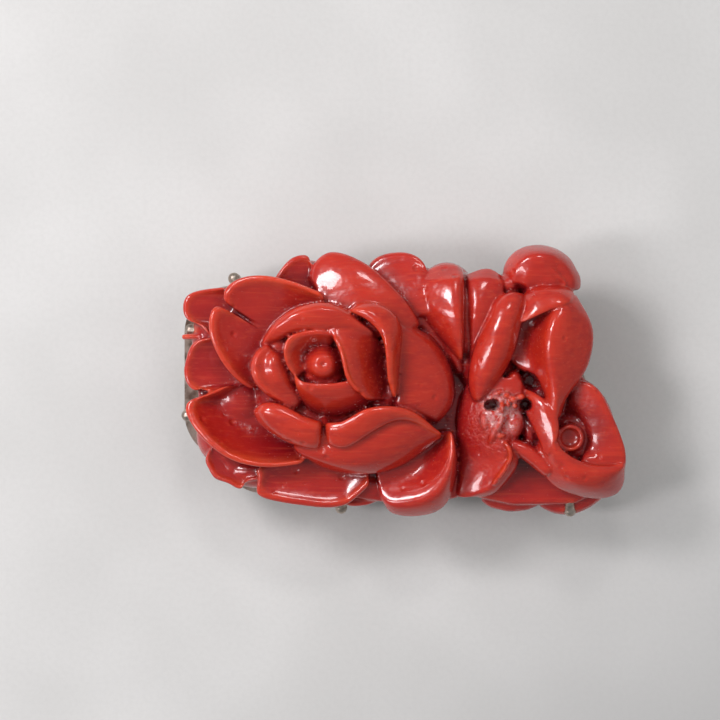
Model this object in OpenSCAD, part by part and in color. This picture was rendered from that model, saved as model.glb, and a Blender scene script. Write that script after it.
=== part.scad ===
// Carved coral brooch: a rose with side blossoms cut from one piece of coral,
// held by claws on an open metal setting, with a pin and catch behind.
// Millimetres. +Z is the carved front, +X runs from the rose to the side blossoms.
// The origin is under the middle of the brooch, on the plane it rests on.

/* [Coral] */
// Length of the carving, which scales its plan
coral_l = 44.4; // [40:0.2:50]
// Height of the carving above its flat back
relief_h = 11; // [9:0.5:13]
// Thickness of a petal near its rim
petal_t = 1.3; // [1:0.1:1.6]

/* [Setting] */
// Height from the resting plane to the back of the coral
gallery_h = 3.9; // [3.6:0.1:5]
// Width of the rail that the brooch rests on
rail_w = 1.0; // [0.8:0.1:1.2]
// Height of that rail
rail_h = 0.9; // [0.7:0.1:1.1]
// Width of the seat rail under the coral
seat_w = 1.5; // [1.2:0.1:1.8]
// Height of the seat rail
seat_h = 0.7; // [0.5:0.1:0.9]
// Diameter of the claws and posts
claw_d = 1.1; // [0.9:0.1:1.2]

/* [Pin] */
// Length of the pin's backing bar
pin_l = 29; // [26:1:30]
// Diameter of the pin stem
stem_d = 0.8; // [0.6:0.1:0.9]
// Width of the backing bar, hinge block and catch
bar_w = 2.4; // [2:0.1:2.6]

/* [Quality] */
// Steps between the rows of a table
steps = 2; // [1:1:2]
// Sides of a lobe's section
sides = 8; // [6:1:9]

/* [Hidden] */
plan_k = coral_l / 44.4;
high_k = relief_h / 11;
gap = 0.1;
back_z = gallery_h;
slab_h = 3.94;
seat_z = gallery_h - gap - seat_h;
$fn = 32;

// Outline of the coral's solid back, at the foot of the petals
BACK = [
  [-20.4, 7.8], [-17.0, 8.8], [-12.4, 10.2], [-9.4, 11.2], [-4.0, 11.5], [1.0, 11.7], [5.4, 10.8],
  [9.0, 10.2], [12.0, 12.1], [15.6, 11.2], [17.4, 7.6], [17.2, 1.6], [19.8, -1.8], [21.2, -6.6],
  [20.6, -10.6], [17.2, -12.3], [11.0, -12.4], [6.4, -11.4], [2.6, -12.4], [-1.2, -12.2],
  [-5.4, -11.6], [-12.6, -11.2], [-17.4, -9.2], [-20.0, -5.2], [-20.8, 0.6]
];

// Lobes are rounded ridges. Each row is a section: x, y, top, half width, half height.
ROSE_LOBES = [
  // The inner petal that curls round the bud from the left
  [[-10.3, 0.3, 8.4, 0.3, 1.0], [-11.2, 1.6, 9.4, 0.7, 2.0], [-11.3, 3.0, 9.8, 0.8, 2.4],
   [-10.6, 4.2, 10.1, 0.8, 2.4], [-9.2, 4.7, 10.2, 0.75, 2.4], [-7.6, 5.2, 10.0, 0.6, 2.0],
   [-6.5, 5.1, 9.4, 0.3, 1.2]],
  // The inner petal to the right of the bud
  [[-7.2, 5.2, 9.4, 0.3, 1.2], [-6.6, 3.9, 10.3, 0.65, 2.2], [-5.9, 2.1, 10.4, 0.75, 2.4],
   [-5.2, 0.5, 10.2, 0.8, 2.4], [-4.3, -0.9, 9.8, 0.6, 2.0], [-3.4, -2.0, 9.0, 0.25, 1]],
  // The inner petal below the bud
  [[-10.7, 0.8, 8.8, 0.3, 1.2], [-9.9, -0.2, 9.6, 0.6, 1.8], [-8.6, -0.7, 9.8, 0.8, 2.2],
   [-7.2, -0.8, 9.8, 0.8, 2.2], [-5.6, -0.4, 9.4, 0.4, 1.4]],
  // The rolled rim above the bud
  [[-14.1, 3.7, 7.8, 0.3, 0.8], [-13.1, 4.8, 8.9, 0.9, 1.8], [-11.8, 5.8, 9.7, 1.2, 2.3],
   [-10.3, 6.5, 10.2, 1.35, 2.5], [-8.7, 6.7, 10.4, 1.35, 2.5], [-7.1, 6.7, 10.4, 1.2, 2.5],
   [-5.6, 6.2, 10.0, 0.85, 2.1], [-4.2, 5.2, 9.2, 0.3, 1]],
  // The tall rolled rim to the right
  [[-5.5, 7.3, 9.4, 0.3, 1.0], [-4.0, 7.1, 10.3, 0.8, 2.2], [-2.7, 6.6, 10.7, 1.05, 2.6],
   [-1.7, 5.7, 10.9, 1.1, 2.8], [-1.1, 4.6, 11.0, 1.05, 2.8], [-1.0, 3.2, 10.8, 0.9, 2.8],
   [-1.1, 1.6, 10.5, 0.7, 2.6], [-1.1, 0.1, 10.1, 0.5, 2.2], [-0.5, -1.6, 9.2, 0.25, 1]],
  // The short rim on the left
  [[-13.2, 3.5, 8.2, 0.4, 1.0], [-13.8, 2.3, 8.9, 1.0, 1.9], [-13.6, 1.0, 9.2, 1.3, 2.2],
   [-12.9, -0.3, 9.2, 1.3, 2.2], [-11.9, -1.4, 8.9, 0.9, 1.9], [-10.8, -2.4, 8.4, 0.5, 1.4],
   [-10.0, -3.1, 7.8, 0.3, 0.9]],
  // The broad rim at the lower left
  [[-14.6, -2.6, 7.6, 0.3, 0.8], [-13.4, -3.5, 8.6, 1.2, 1.8], [-11.6, -4.3, 9.0, 1.7, 2.1],
   [-9.9, -4.8, 9.1, 1.8, 2.2], [-8.3, -5.0, 8.9, 1.5, 2.1]],
  // The broad rim at the lower right
  [[-7.5, -5.0, 8.9, 1.4, 2.1], [-6.2, -5.1, 9.5, 1.6, 2.3], [-4.5, -4.5, 9.9, 1.6, 2.5],
   [-2.8, -3.7, 10.1, 1.4, 2.5], [-1.0, -3.3, 10.0, 1.1, 2.4], [0.7, -3.5, 9.4, 0.85, 2.1],
   [2.4, -4.2, 8.4, 0.5, 1.5], [3.9, -5.3, 7.0, 0.2, 0.8]]
];

// Lobes of the side leaves, blossoms and low petals
SIDE_LOBES = [
  // The broad leaf beside the rose
  [[4.2, 12.3, 4.2, 0.5, 0.6], [4.1, 11.5, 6.0, 1.9, 1.6], [3.9, 9.8, 7.2, 2.2, 2],
   [4.1, 7.8, 7.8, 2.1, 2.2], [4.5, 6.0, 7.9, 1.7, 2.2], [5.0, 4.4, 7.7, 1.15, 2],
   [5.5, 3.0, 7.0, 0.6, 1.4], [5.9, 1.9, 6.2, 0.15, 0.8]],
  // The leaf behind the long leaf
  [[8.6, 11.8, 4.2, 0.4, 0.6], [8.1, 10.6, 6.4, 1.9, 1.8], [7.8, 8.6, 7.4, 1.9, 2],
   [7.4, 6.6, 7.7, 1.5, 2], [7.1, 4.4, 7.4, 1.0, 1.8], [6.8, 2.2, 6.8, 0.7, 1.6],
   [6.7, 0.4, 5.8, 0.3, 1]],
  // The long leaf
  [[11.6, 8.9, 7.2, 0.5, 0.8], [11.1, 7.8, 8.6, 1.2, 1.6], [10.4, 5.8, 9.5, 1.85, 2.2],
   [9.8, 4.0, 9.8, 2.15, 2.4], [9.2, 2.0, 9.8, 2.05, 2.4], [8.5, 0.2, 9.3, 1.6, 2],
   [7.8, -1.1, 8.5, 1.0, 1.6], [7.1, -2.2, 7.2, 0.25, 0.7]],
  // The folded leaf on the right, which narrows into a stem
  [[14.3, 9.8, 6.2, 1.6, 1.0], [14.7, 8.6, 8.0, 2.6, 2], [15.2, 6.4, 9.4, 3.2, 2.4],
   [15.3, 4.3, 9.8, 3.45, 2.6], [15.2, 2.2, 9.7, 3.1, 2.6], [15.3, 0.4, 9.3, 2.3, 2.4],
   [15.5, -1.2, 8.9, 1.5, 2.2], [15.2, -2.8, 8.5, 1.1, 2], [14.8, -4.6, 8.2, 0.95, 1.7]],
  // The stem and rolled rim that run round the cup
  [[14.4, -2.8, 8.2, 0.6, 1.6], [14.5, -5.0, 8.3, 1.1, 2], [15.2, -7.0, 8.2, 1.4, 2],
   [16.3, -8.5, 7.9, 1.6, 2], [17.8, -9.4, 7.5, 1.75, 2], [19.4, -9.7, 7.1, 1.7, 2],
   [20.7, -9.2, 6.7, 1.3, 1.8], [21.5, -8.2, 6.0, 0.5, 1.2]],
  // The far rim of the cup
  [[17.6, -0.1, 5.4, 0.4, 0.8], [19.2, -0.8, 6.5, 0.7, 1.7], [20.3, -2.4, 6.9, 0.75, 2],
   [21.0, -4.4, 6.9, 0.75, 2], [21.5, -6.8, 6.6, 0.7, 2], [21.4, -9.2, 6.0, 0.6, 1.6],
   [20.6, -10.8, 5.2, 0.3, 1]],
  // The branch from the small blossom to the rim
  [[11.7, -1.6, 6.4, 0.4, 0.9], [13.1, -1.8, 7.4, 0.65, 1.4], [14.0, -2.8, 7.9, 0.65, 1.5],
   [14.4, -4.2, 8.0, 0.5, 1.4]],
  [[12.1, -5.0, 6.2, 0.4, 0.9], [13.2, -6.0, 7.0, 0.75, 1.4], [14.2, -7.2, 7.3, 0.9, 1.6],
   [15.4, -8.6, 7.2, 0.8, 1.4]],
  // The curled bud at the top right
  [[10.4, 10.4, 4.6, 0.5, 0.9], [11.0, 11.6, 6.2, 0.95, 1.6], [12.3, 12.3, 7.2, 1.15, 1.8],
   [14.0, 12.4, 7.6, 1.05, 1.8], [15.6, 11.7, 7.2, 0.95, 1.8], [16.6, 10.5, 6.6, 0.9, 1.6],
   [17.0, 9.0, 5.4, 0.4, 0.9]],
  // The thin spur at the far left
  [[-22.2, 4.4, 3.4, 0.25, 0.4], [-21.4, 4.45, 3.7, 0.3, 0.5], [-20.0, 4.4, 4.4, 0.35, 0.7]],
  // The low petal behind the lower right claw
  [[13.7, -12.1, 2.2, 0.4, 0.6], [15.5, -12.5, 2.9, 0.9, 1.2], [17.4, -12.3, 3.0, 1.0, 1.2],
   [19.2, -11.5, 2.9, 0.8, 1.2], [20.7, -10.6, 2.6, 0.4, 0.8]],
  // The rolled rim of the cupped petal below the rose
  [[-2.3, -11.1, 4.4, 0.4, 0.8], [-0.9, -11.7, 5.6, 1.0, 1.6], [0.9, -11.4, 6.4, 1.3, 1.9],
   [2.6, -10.5, 7.0, 1.4, 2], [3.9, -9.1, 7.4, 1.2, 2], [4.6, -7.3, 7.4, 0.75, 1.8],
   [4.8, -5.3, 6.6, 0.3, 1]]
];

// Petals are sheets that fan out from a root. Each has the root as x, y, top; the share of the
// way from rim to root that it spans; how far its face dishes; and rim rows of x, y, top.
PETALS = [
  // The upper left pair behind the rose
  [[-8.5, 2, 5.6], 0.8, 0.8, [[-17.9, 7.8, 6.6], [-17.8, 9.3, 7.0], [-16.4, 10.3, 7.4],
   [-14.2, 10.6, 7.9], [-12.0, 10.2, 8.3], [-9.8, 9.5, 8.6], [-7.6, 8.5, 8.6]]],
  [[-9, 2, 5.4], 0.8, 1.0, [[-17.6, 7.2, 7.0], [-18.8, 7.6, 7.2], [-19.4, 6.3, 7.4],
   [-19.3, 4.6, 7.5], [-18.6, 2.8, 7.5], [-17.5, 1.1, 7.3], [-16.2, -0.2, 6.9],
   [-14.9, -0.9, 6.4]]],
  // The far left three, low at the edge
  [[-12, 5, 4.2], 0.6, 0.2, [[-18.0, 9.2, 4.6], [-20.2, 9.2, 4.6], [-21.5, 8.5, 4.7],
   [-21.9, 7.2, 4.8], [-21.2, 6.0, 4.9], [-20.2, 4.9, 5.0]]],
  [[-12, 1, 4.4], 0.6, 0.2, [[-19.8, 4.2, 5.2], [-21.1, 3.5, 5.0], [-21.7, 2.2, 4.9],
   [-21.9, 0.5, 4.9], [-21.3, -0.8, 5.0], [-20.0, -1.0, 5.2]]],
  [[-10, -1.5, 4.6], 0.8, 1.3, [[-20.2, -1.5, 5.6], [-21.4, -2.1, 5.5], [-21.5, -3.2, 5.6],
   [-20.7, -4.7, 6.0], [-19.4, -6.3, 6.4], [-17.6, -7.6, 6.7], [-15.4, -8.3, 6.9],
   [-12.6, -8.4, 7.0], [-9.4, -7.9, 6.8]]],
  // The low scalloped petal at the lower left
  [[-13, -4, 3.6], 0.55, 0.1, [[-19.4, -6.8, 3.8], [-19.8, -8.2, 3.8], [-18.9, -9.7, 3.9],
   [-17.4, -10.2, 4.0], [-16.2, -10.7, 4.1], [-15.3, -10.2, 4.4]]],
  // The long petal along the bottom
  [[-6, -3.5, 5.0], 0.75, 0.4, [[-14.0, -9.8, 5.4], [-14.5, -11.2, 5.2], [-13.0, -11.8, 5.2],
   [-10.5, -12.3, 5.2], [-8.0, -12.6, 5.1], [-5.9, -12.5, 5.0], [-4.6, -11.6, 5.2],
   [-3.0, -10.1, 5.4]]],
  [[-2, -6, 3.6], 0.6, 0, [[-6.4, -12.0, 3.2], [-5.4, -12.6, 3.1], [-3.2, -12.4, 3.1],
   [-1.6, -11.4, 3.4]]],
  // The two along the top
  [[-8, 3, 4.4], 0.6, 0.2, [[-13.2, 10.0, 5.4], [-12.2, 11.5, 5.3], [-11.0, 12.4, 5.2],
   [-9.6, 12.6, 5.2], [-9.0, 11.6, 5.6]]],
  [[-4, 2, 5.4], 0.75, 0.3, [[-8.9, 11.2, 6.2], [-8.1, 12.6, 6.0], [-6.6, 12.8, 6.2],
   [-4.6, 12.3, 6.8], [-2.8, 11.2, 7.4], [-1.0, 9.4, 7.9], [0.5, 7.7, 8.0], [1.8, 5.6, 7.6]]],
  // The one between them and the broad leaf
  [[3.4, 3.2, 3.6], 0.7, 0.1, [[-3.4, 11.6, 4.6], [-2.5, 12.5, 4.6], [-0.8, 12.9, 4.8],
   [0.7, 12.8, 5.0], [2.0, 12.0, 5.2], [2.6, 10.6, 5.4]]],
  // The cupped petal below the rose
  [[1.5, -6.0, 4.0], 0.75, 0.4, [[-2.5, -10.8, 4.6], [-1.6, -13.0, 4.2], [0.4, -13.2, 4.4],
   [2.4, -13.1, 4.6], [4.0, -12.3, 4.8], [4.9, -10.6, 5.3], [5.2, -8.4, 5.6], [5.3, -6.4, 5.8],
   [4.7, -5.0, 5.8]]],
  // The petal under the small blossom
  [[6.8, -4.2, 3.8], 0.75, 0.5, [[11.9, -3.2, 6.2], [12.2, -4.6, 6.4], [11.0, -5.9, 6.0],
   [11.5, -7.4, 5.8], [11.0, -8.8, 5.5], [9.9, -10.2, 5.1], [8.3, -11.4, 4.7], [6.5, -12.1, 4.3],
   [4.9, -12.1, 4.0]]]
];

// Mounds fill the middle of the forms. Each is a hull of balls: x, y, top, radius.
MOUNDS = [
  // Body of the rose
  [[-9.6, 2.6, 7.4, 4.6], [-5.8, 2.4, 7.8, 5.2], [-9.2, -2.2, 7.0, 4.4], [-4.4, -2.4, 7.4, 5]],
  // Full outer face on the right of the rose
  [[0.4, 2.8, 8.7, 3.6], [1.2, 0.2, 8.4, 3.9], [0.6, -1.6, 8.2, 3.6], [-2.8, 1.8, 8.2, 3]],
  // Full outer face below the rose
  [[-5.6, -5.2, 7.9, 3.5], [-2.6, -5.4, 8.0, 3.6], [0.6, -5.0, 7.4, 2.6], [-8.2, -5.4, 7.2, 2.6]],
  // Outer face of the inner petal below the bud
  [[-8.4, -1.0, 9.4, 1.8], [-6.6, -1.3, 9.4, 1.9], [-5.0, -1.2, 8.8, 1.4]],
  // Bud
  [[-7.8, 1.7, 9.9, 1.6], [-7.8, 1.7, 8, 2]],
  // Ground under the side leaves
  [[4.4, 8, 5.6, 3], [5.2, -2, 4.8, 3], [8.4, 3, 6, 3.2], [14.4, 6, 6.6, 3.6], [14.4, -1, 6, 3.4]],
  // Ground under the small blossom
  [[8.6, -2.6, 5.8, 2.4], [9.2, -7.4, 4.4, 3], [13.2, -5, 5, 2.6]],
  // Smooth petal at the bottom
  [[10.2, -10.6, 5.0, 2.9], [12.6, -10.4, 4.6, 2.7], [11.6, -8, 4.6, 2]],
  // Middle of the curled bud
  [[12.9, 10.9, 6.6, 1.9], [14.9, 10.4, 6.4, 1.9]],
  // Floor of the cup
  [[17.4, -3, 5.2, 2.4], [18.4, -6.4, 5.2, 2.8], [16.6, -7.4, 5.6, 2.4]],
  // Bright tip and lobes of the small blossom
  [[10.9, -4.0, 7.6, 1.1], [11.6, -3.4, 7.2, 0.8]],
  [[9.6, -1.0, 7.3, 0.8], [11.0, -0.4, 7.6, 0.9]],
  [[10.3, -2.1, 7.4, 0.8], [9.2, -1.9, 6.8, 0.6]]
];

// Cuts that part the forms: hulls of balls with x, y, floor, radius, open to the front. The first
// two part the leaves, and the rest are the drilled holes round the small blossom.
CUTS = [
  [[6.05, 9.2, 5.6, 0.16], [6.0, 4.0, 5.0, 0.24], [5.9, -0.5, 4.6, 0.32]],
  [[5.9, -0.5, 4.6, 0.32], [5.7, -6.0, 4.4, 0.26]],
  [[8.9, -2.5, 4.8, 0.34], [8.5, -2.6, 4.8, 0.34]],
  [[12.1, -2.4, 4.8, 0.34], [11.8, -2.6, 4.8, 0.34]],
  [[12.9, -4.7, 5.2, 0.4], [13.4, -4.9, 5.4, 0.3]],
  [[12.6, 0.6, 5, 0.5], [13.0, 0.2, 5, 0.4]]
];
// The pit drilled in the bud: x, y, floor, radius
BUD_PIT = [-8.0, 2.0, 9.5, 0.35];

// The curled bud inside the cup: x, y, top, ring radius, wire radius
CURL = [16.5, -5.6, 6.9, 1.0, 0.45];

// Claws: x and y of the upright, the heading of its arm and tip, the arm's length, and the rise of
// the bend above the coral's back
CLAWS = [
  [-16.9, 10.3, -70, 1.8, 4.6],
  [-21.3, 5.2, -10, 0.6, 2.6],
  [-21.6, -3.4, 20, 0.8, 3.6],
  [-6.2, -12.75, 90, 2.2, 1.5],
  [16.8, -13.0, 95, 2.6, 2.6]
];
tip_lean = 55;
tip_l = 1.1;
tip_taper = 0.8;
// A bend is a little thicker than the wire that it joins
knuckle = 1.08;

// Corners of the rails' middle line are arcs of this radius about these centres
corner_r = 4;
CORNERS = [[-17.3, 4.9], [-17.3, -3.2], [-13.9, -6.6], [16.2, -6.6], [11.4, 4.9]];
POSTS = [[-21.3, 0.8], [-11, 8.9], [0, 8.9], [11, 8.9], [18.1, -0.8], [19, -9.4], [6, -10.6], [-13, -10.6]];
strut_x = 11.5;
strut_w = 1.6;
strut_y0 = -10.6;
strut_l = 19.5;
pin_y = 1.5;
bar_h = 0.7;
hinge_l = 2.2;
catch_l = 1.6;
slot_h = 0.5;
// How high the hinge block and catch hang above the resting plane, and the metal under the stem
pin_foot = 0.25;
stem_floor = 0.35;
stem_inset = 1;

// Catmull-Rom curve through four rows, from b to c
function through(a, b, c, d, t) =
  0.5 * (2 * b + (c - a) * t + (2 * a - 5 * b + 4 * c - d) * t * t + (3 * b - a - 3 * c + d) * t * t * t);

// A table's rows with more rows between them
function smooth(rows, n) =
  let (last = len(rows) - 1)
  [for (i = [0:last - 1], k = [0:n - 1])
     through(rows[max(i - 1, 0)], rows[i], rows[i + 1], rows[min(i + 2, last)], k / n), rows[last]];

// Direction in plan of the line through the rows
function heading(rows, i) =
  let (a = rows[max(i - 1, 0)], b = rows[min(i + 1, len(rows) - 1)])
  atan2(b.y - a.y, b.x - a.x);

// The rim in the order that runs clockwise about the root, so that the sheet's faces look outward
function clockwise(rim, root) =
  let (a = rim[0] - root, b = rim[len(rim) - 1] - root)
  a.x * b.y < a.y * b.x ? rim : [for (i = [len(rim) - 1:-1:0]) rim[i]];

// A closed solid through rings of equal length
module skin(rings) {
  n = len(rings[0]);
  last = (len(rings) - 1) * n;
  polyhedron(
    points = [for (ring = rings) each ring],
    faces = concat(
      [for (j = [1:n - 2]) [0, j, j + 1]],
      [for (j = [1:n - 2]) [last, last + j + 1, last + j]],
      [for (i = [0:len(rings) - 2], j = [0:n - 1])
         each [[i * n + j, (i + 1) * n + j, (i + 1) * n + (j + 1) % n],
               [i * n + j, (i + 1) * n + (j + 1) % n, i * n + (j + 1) % n]]]));
}

// A rounded ridge through a table of sections
module lobe(rows) {
  fine = smooth(rows, steps);
  skin([for (i = [0:len(fine) - 1])
    let (r = fine[i], a = heading(fine, i))
    [for (j = [0:sides - 1])
      let (q = 360 * j / sides, across = cos(q) * r[3])
      [r.x - sin(a) * across, r.y + cos(a) * across, r[2] - r[4] + sin(q) * r[4]]]]);
}

// A sheet petal: share of the way in, rise in petal thicknesses, and weight of the dish
SHEET = [[0, -0.5, 0], [0.06, -0.08, 0], [0.2, 0, 0.2], [0.55, 0, 1], [1, 0, 0.3],
         [1, -2.4, 0], [0.06, -1.1, 0]];
module petal(root, share, dish, rim) {
  fine = smooth(clockwise(rim, root), steps);
  skin([for (r = fine)
    [for (p = SHEET)
      let (f = p[0] * share)
      [r.x + (root.x - r.x) * f, r.y + (root.y - r.y) * f,
       r[2] + (root[2] - r[2]) * f + p[1] * petal_t - p[2] * dish]]]);
}

// A hull of balls that hang below their tops
module mound(balls) {
  hull()
    for (b = balls)
      translate([b.x, b.y, max(b[2] - b[3], b[3] * 0.4)])
        sphere(b[3], $fn = b[3] > 2.5 ? 12 : 8);
}

// A slot or hole cut down to its floor
module cut(balls) {
  hull()
    for (b = balls)
      translate([b.x, b.y, b[2] + b[3]]) {
        sphere(b[3], $fn = 6);
        cylinder(r = b[3], h = relief_h, $fn = 6);
      }
}

// The solid back, with a foot that is drawn in a little where it sits on the setting
module slab() {
  corner = 1.2;
  foot_h = 0.8;
  foot_in = 0.8;
  lap = 0.1;
  // Each step is its floor, its height and how far it is drawn in
  for (step = [[foot_h - lap, slab_h - foot_h + lap, 0], [0, foot_h, foot_in]])
    translate([0, 0, step[0]])
      linear_extrude(step[1])
        offset(corner - step[2], $fn = 12)
          offset(-corner)
            polygon(BACK);
}

module curl() {
  translate([CURL.x, CURL.y, CURL[2] - CURL[4]])
    rotate_extrude($fn = 12)
      translate([CURL[3], 0])
        circle(CURL[4], $fn = 6);
}

module coral_carving() {
  color([0.78, 0.16, 0.1])
    difference() {
      translate([0, 0, back_z])
        scale([plan_k, plan_k, high_k])
          difference() {
            union() {
              slab();
              for (m = MOUNDS) mound(m);
              for (rows = ROSE_LOBES) lobe(rows);
              for (rows = SIDE_LOBES) lobe(rows);
              for (p = PETALS) petal(p[0], p[1], p[2], p[3]);
              curl();
            }
            for (c = CUTS) cut(c);
            translate([BUD_PIT.x, BUD_PIT.y, BUD_PIT[2] + BUD_PIT[3]]) sphere(BUD_PIT[3], $fn = 8);
            translate([0, 0, -10]) cube([100, 100, 20], center = true);
          }
      for (c = CLAWS) claw(c, gap, $fn = 12);
    }
}

// A claw: an arm out from the seat rail, a post up the side and a tip bent over the edge.
// Grown by clear, it is the notch that the coral needs for it.
module claw(c, clear = 0) {
  d = claw_d + 2 * clear;
  mid = seat_z + seat_h / 2;
  bend = back_z + c[4];
  foot = [c.x * plan_k, c.y * plan_k];
  translate([foot.x, foot.y, mid]) {
    sphere(d = d * knuckle);
    rotate([0, 90, c[2]]) cylinder(d = d, h = c[3] + clear);
    cylinder(d = d, h = bend - mid);
  }
  translate([foot.x, foot.y, bend]) {
    sphere(d = d * knuckle);
    rotate([0, tip_lean, c[2]]) {
      cylinder(d1 = d, d2 = d * tip_taper, h = tip_l);
      translate([0, 0, tip_l]) sphere(d = d * tip_taper * knuckle);
    }
  }
}

// The rails' plan, its middle line moved out by grow: arcs at the corners, lines between them
module rail_plan(grow) {
  r = corner_r + grow;
  n = len(CORNERS);
  polygon([for (i = [0:n - 1])
    let (a = CORNERS[i] * plan_k, b = CORNERS[(i + 1) % n] * plan_k,
         along = (b - a) / norm(b - a), out = [along.y, -along.x] * r)
    each [a + out, b + out]]);
  for (c = CORNERS) translate(c * plan_k) circle(r);
}

module rail(z, w, h) {
  translate([0, 0, z])
    linear_extrude(h)
      difference() {
        rail_plan(w / 2);
        rail_plan(-w / 2);
      }
}

module setting_frame() {
  color([0.66, 0.62, 0.55]) {
    rail(0, rail_w, rail_h);
    rail(seat_z, seat_w, seat_h);
    for (p = POSTS)
      translate([p.x * plan_k, p.y * plan_k, rail_h / 2])
        cylinder(d = claw_d - 0.2, h = seat_z + seat_h / 2 - rail_h / 2);
    for (x = [-strut_x, strut_x])
      translate([x - strut_w / 2, strut_y0 * plan_k, seat_z])
        cube([strut_w, strut_l * plan_k, seat_h]);
    for (c = CLAWS) claw(c);
  }
}

// The pin in one piece: a bar under the struts, a hinge block, the stem and the slotted catch
module pin_clasp() {
  half = pin_l / 2;
  bar_z = seat_z - gap - bar_h;
  stem_z = pin_foot + stem_floor + stem_d / 2;
  block_h = bar_z + bar_h / 2 - pin_foot;
  color([0.7, 0.68, 0.62])
    translate([0, pin_y, 0]) {
      translate([-half, -bar_w / 2, bar_z]) cube([pin_l, bar_w, bar_h]);
      translate([half - hinge_l, -bar_w / 2, pin_foot]) cube([hinge_l, bar_w, block_h]);
      translate([-half + stem_inset, 0, stem_z])
        rotate([0, 90, 0]) cylinder(d = stem_d, h = pin_l - 2 * stem_inset);
      // The catch is a block with a slot over the stem, open to one side
      difference() {
        translate([-half, -bar_w / 2, pin_foot]) cube([catch_l, bar_w, block_h]);
        translate([-half - 1, -bar_w, stem_z + stem_d / 2]) cube([catch_l + 2, bar_w * 1.25, slot_h]);
      }
    }
}

coral_carving();
setting_frame();
pin_clasp();
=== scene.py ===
import math

import bpy
from mathutils import Matrix, Vector


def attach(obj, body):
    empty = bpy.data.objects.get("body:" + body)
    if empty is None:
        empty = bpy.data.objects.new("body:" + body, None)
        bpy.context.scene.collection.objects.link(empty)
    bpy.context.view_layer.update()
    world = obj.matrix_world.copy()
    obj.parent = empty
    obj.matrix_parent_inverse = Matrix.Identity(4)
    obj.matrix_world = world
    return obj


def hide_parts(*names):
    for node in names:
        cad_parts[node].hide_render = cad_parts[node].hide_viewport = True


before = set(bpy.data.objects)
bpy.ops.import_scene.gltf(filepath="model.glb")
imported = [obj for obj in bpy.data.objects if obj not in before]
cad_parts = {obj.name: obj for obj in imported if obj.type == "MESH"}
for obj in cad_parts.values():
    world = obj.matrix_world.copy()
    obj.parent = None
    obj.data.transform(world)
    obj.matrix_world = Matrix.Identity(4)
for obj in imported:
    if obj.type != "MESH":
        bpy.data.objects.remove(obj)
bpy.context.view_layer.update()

# Everything about the carving is in millimetres, with heights above the coral's flat back, as in
# the part's source. MM and CORAL_BACK bring it into the scene's metres.
MM = 0.001
CORAL_BACK = 3.9

# Subdivisions that round a form, and the steps from one row of its table to the next
ROUNDINGS = 2
STEPS = 2

# A ridge's section: its sides, how much wider it starts because rounding draws it in, how far its
# shoulders are swollen, and how far off the crest and the sides they begin. A bead's half width
# and half depth.
RIDGE_SIDES = 12
ROUND_LOSS = 1.045
SHOULDER = 1.07
SHOULDER_FROM = 0.3
BEAD = (0.24, 0.5)

# The edges of a petal drawn by rails: the width of the bevel, the drop across it, and the wall below
EDGE_WIDE = 0.45
EDGE_DROP = 0.19
EDGE_WALL = 0.3

# How far a plate's edge is drawn down before it is laid flat, and the least height of its face
PLATE_DRAWN = 2
PLATE_CLEAR = 0.3

# The solid back's thickness and the bevel of its edges, and the sides of what is round
BACK_THICK = 3.9
BACK_BEVEL = 0.5
ROUND_SIDES = 32

# The forms are melted into one skin of squares this wide, with no more than so many triangles, and
# shaded smooth up to this angle in degrees
MELT_SIZE = 0.15
MOST_TRIANGLES = 190000
SMOOTH_ANGLE = 70


def spot(x, y, high):
    """A point of the tables as a place in the scene."""
    return Vector((x, y, high + CORAL_BACK)) * MM


def put_down():
    """Leaves edit mode with nothing selected."""
    if bpy.context.mode != "OBJECT":
        bpy.ops.object.mode_set(mode="OBJECT")
    bpy.ops.object.select_all(action="DESELECT")


def take(*pieces):
    put_down()
    for piece in pieces:
        piece.select_set(True)
    bpy.context.view_layer.objects.active = pieces[0]


def edit():
    bpy.ops.object.mode_set(mode="EDIT")


def turn(angle, axis, about):
    """Rotates the selection, anticlockwise seen from the axis's tip. With no window the operator turns
    the other way."""
    bpy.ops.transform.rotate(value=-angle, orient_axis=axis, center_override=about)


def size_to(value, about, axes=None):
    where = {}
    if axes:
        where = {"orient_type": "GLOBAL", "orient_matrix": axes, "orient_matrix_type": "GLOBAL"}
    bpy.ops.transform.resize(value=value, center_override=about, **where)


def lift(high):
    bpy.ops.transform.translate(value=(0, 0, high * MM))


def apply_modifier(piece, kind, **settings):
    take(piece)
    m = piece.modifiers.new(kind.lower(), kind)
    for k, v in settings.items():
        setattr(m, k, v)
    bpy.ops.object.modifier_apply(modifier=m.name)


def rounded(piece):
    apply_modifier(piece, "SUBSURF", levels=ROUNDINGS, render_levels=ROUNDINGS)
    return piece


def curve_through(rows):
    """The rows of a table with more rows between them, on a smooth curve."""
    last = len(rows) - 1
    fine = []
    for i in range(last):
        a, b, c, d = (rows[min(max(i + k, 0), last)] for k in (-1, 0, 1, 2))
        for k in range(STEPS):
            t = k / STEPS
            fine.append([0.5 * (2 * q + (r - p) * t + (2 * p - 5 * q + 4 * r - s) * t * t
                                + (3 * q - p - 3 * r + s) * t ** 3) for p, q, r, s in zip(a, b, c, d)])
    fine.append(list(rows[-1]))
    return fine


def point_at(place):
    """A new piece of one vertex, in edit mode, ready to be drawn out."""
    put_down()
    bpy.ops.mesh.primitive_plane_add(size=MM, location=place)
    edit()
    bpy.ops.mesh.merge(type="CENTER")
    return bpy.context.object


def draw_along(rail):
    for a, b in zip(rail, rail[1:]):
        bpy.ops.mesh.extrude_vertices_move(TRANSFORM_OT_translate={"value": spot(*b) - spot(*a)})


def face_outwards():
    """Turns all the faces of the piece outwards, and leaves them selected."""
    bpy.ops.mesh.select_all(action="SELECT")
    bpy.ops.mesh.normals_make_consistent(inside=False)


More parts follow.
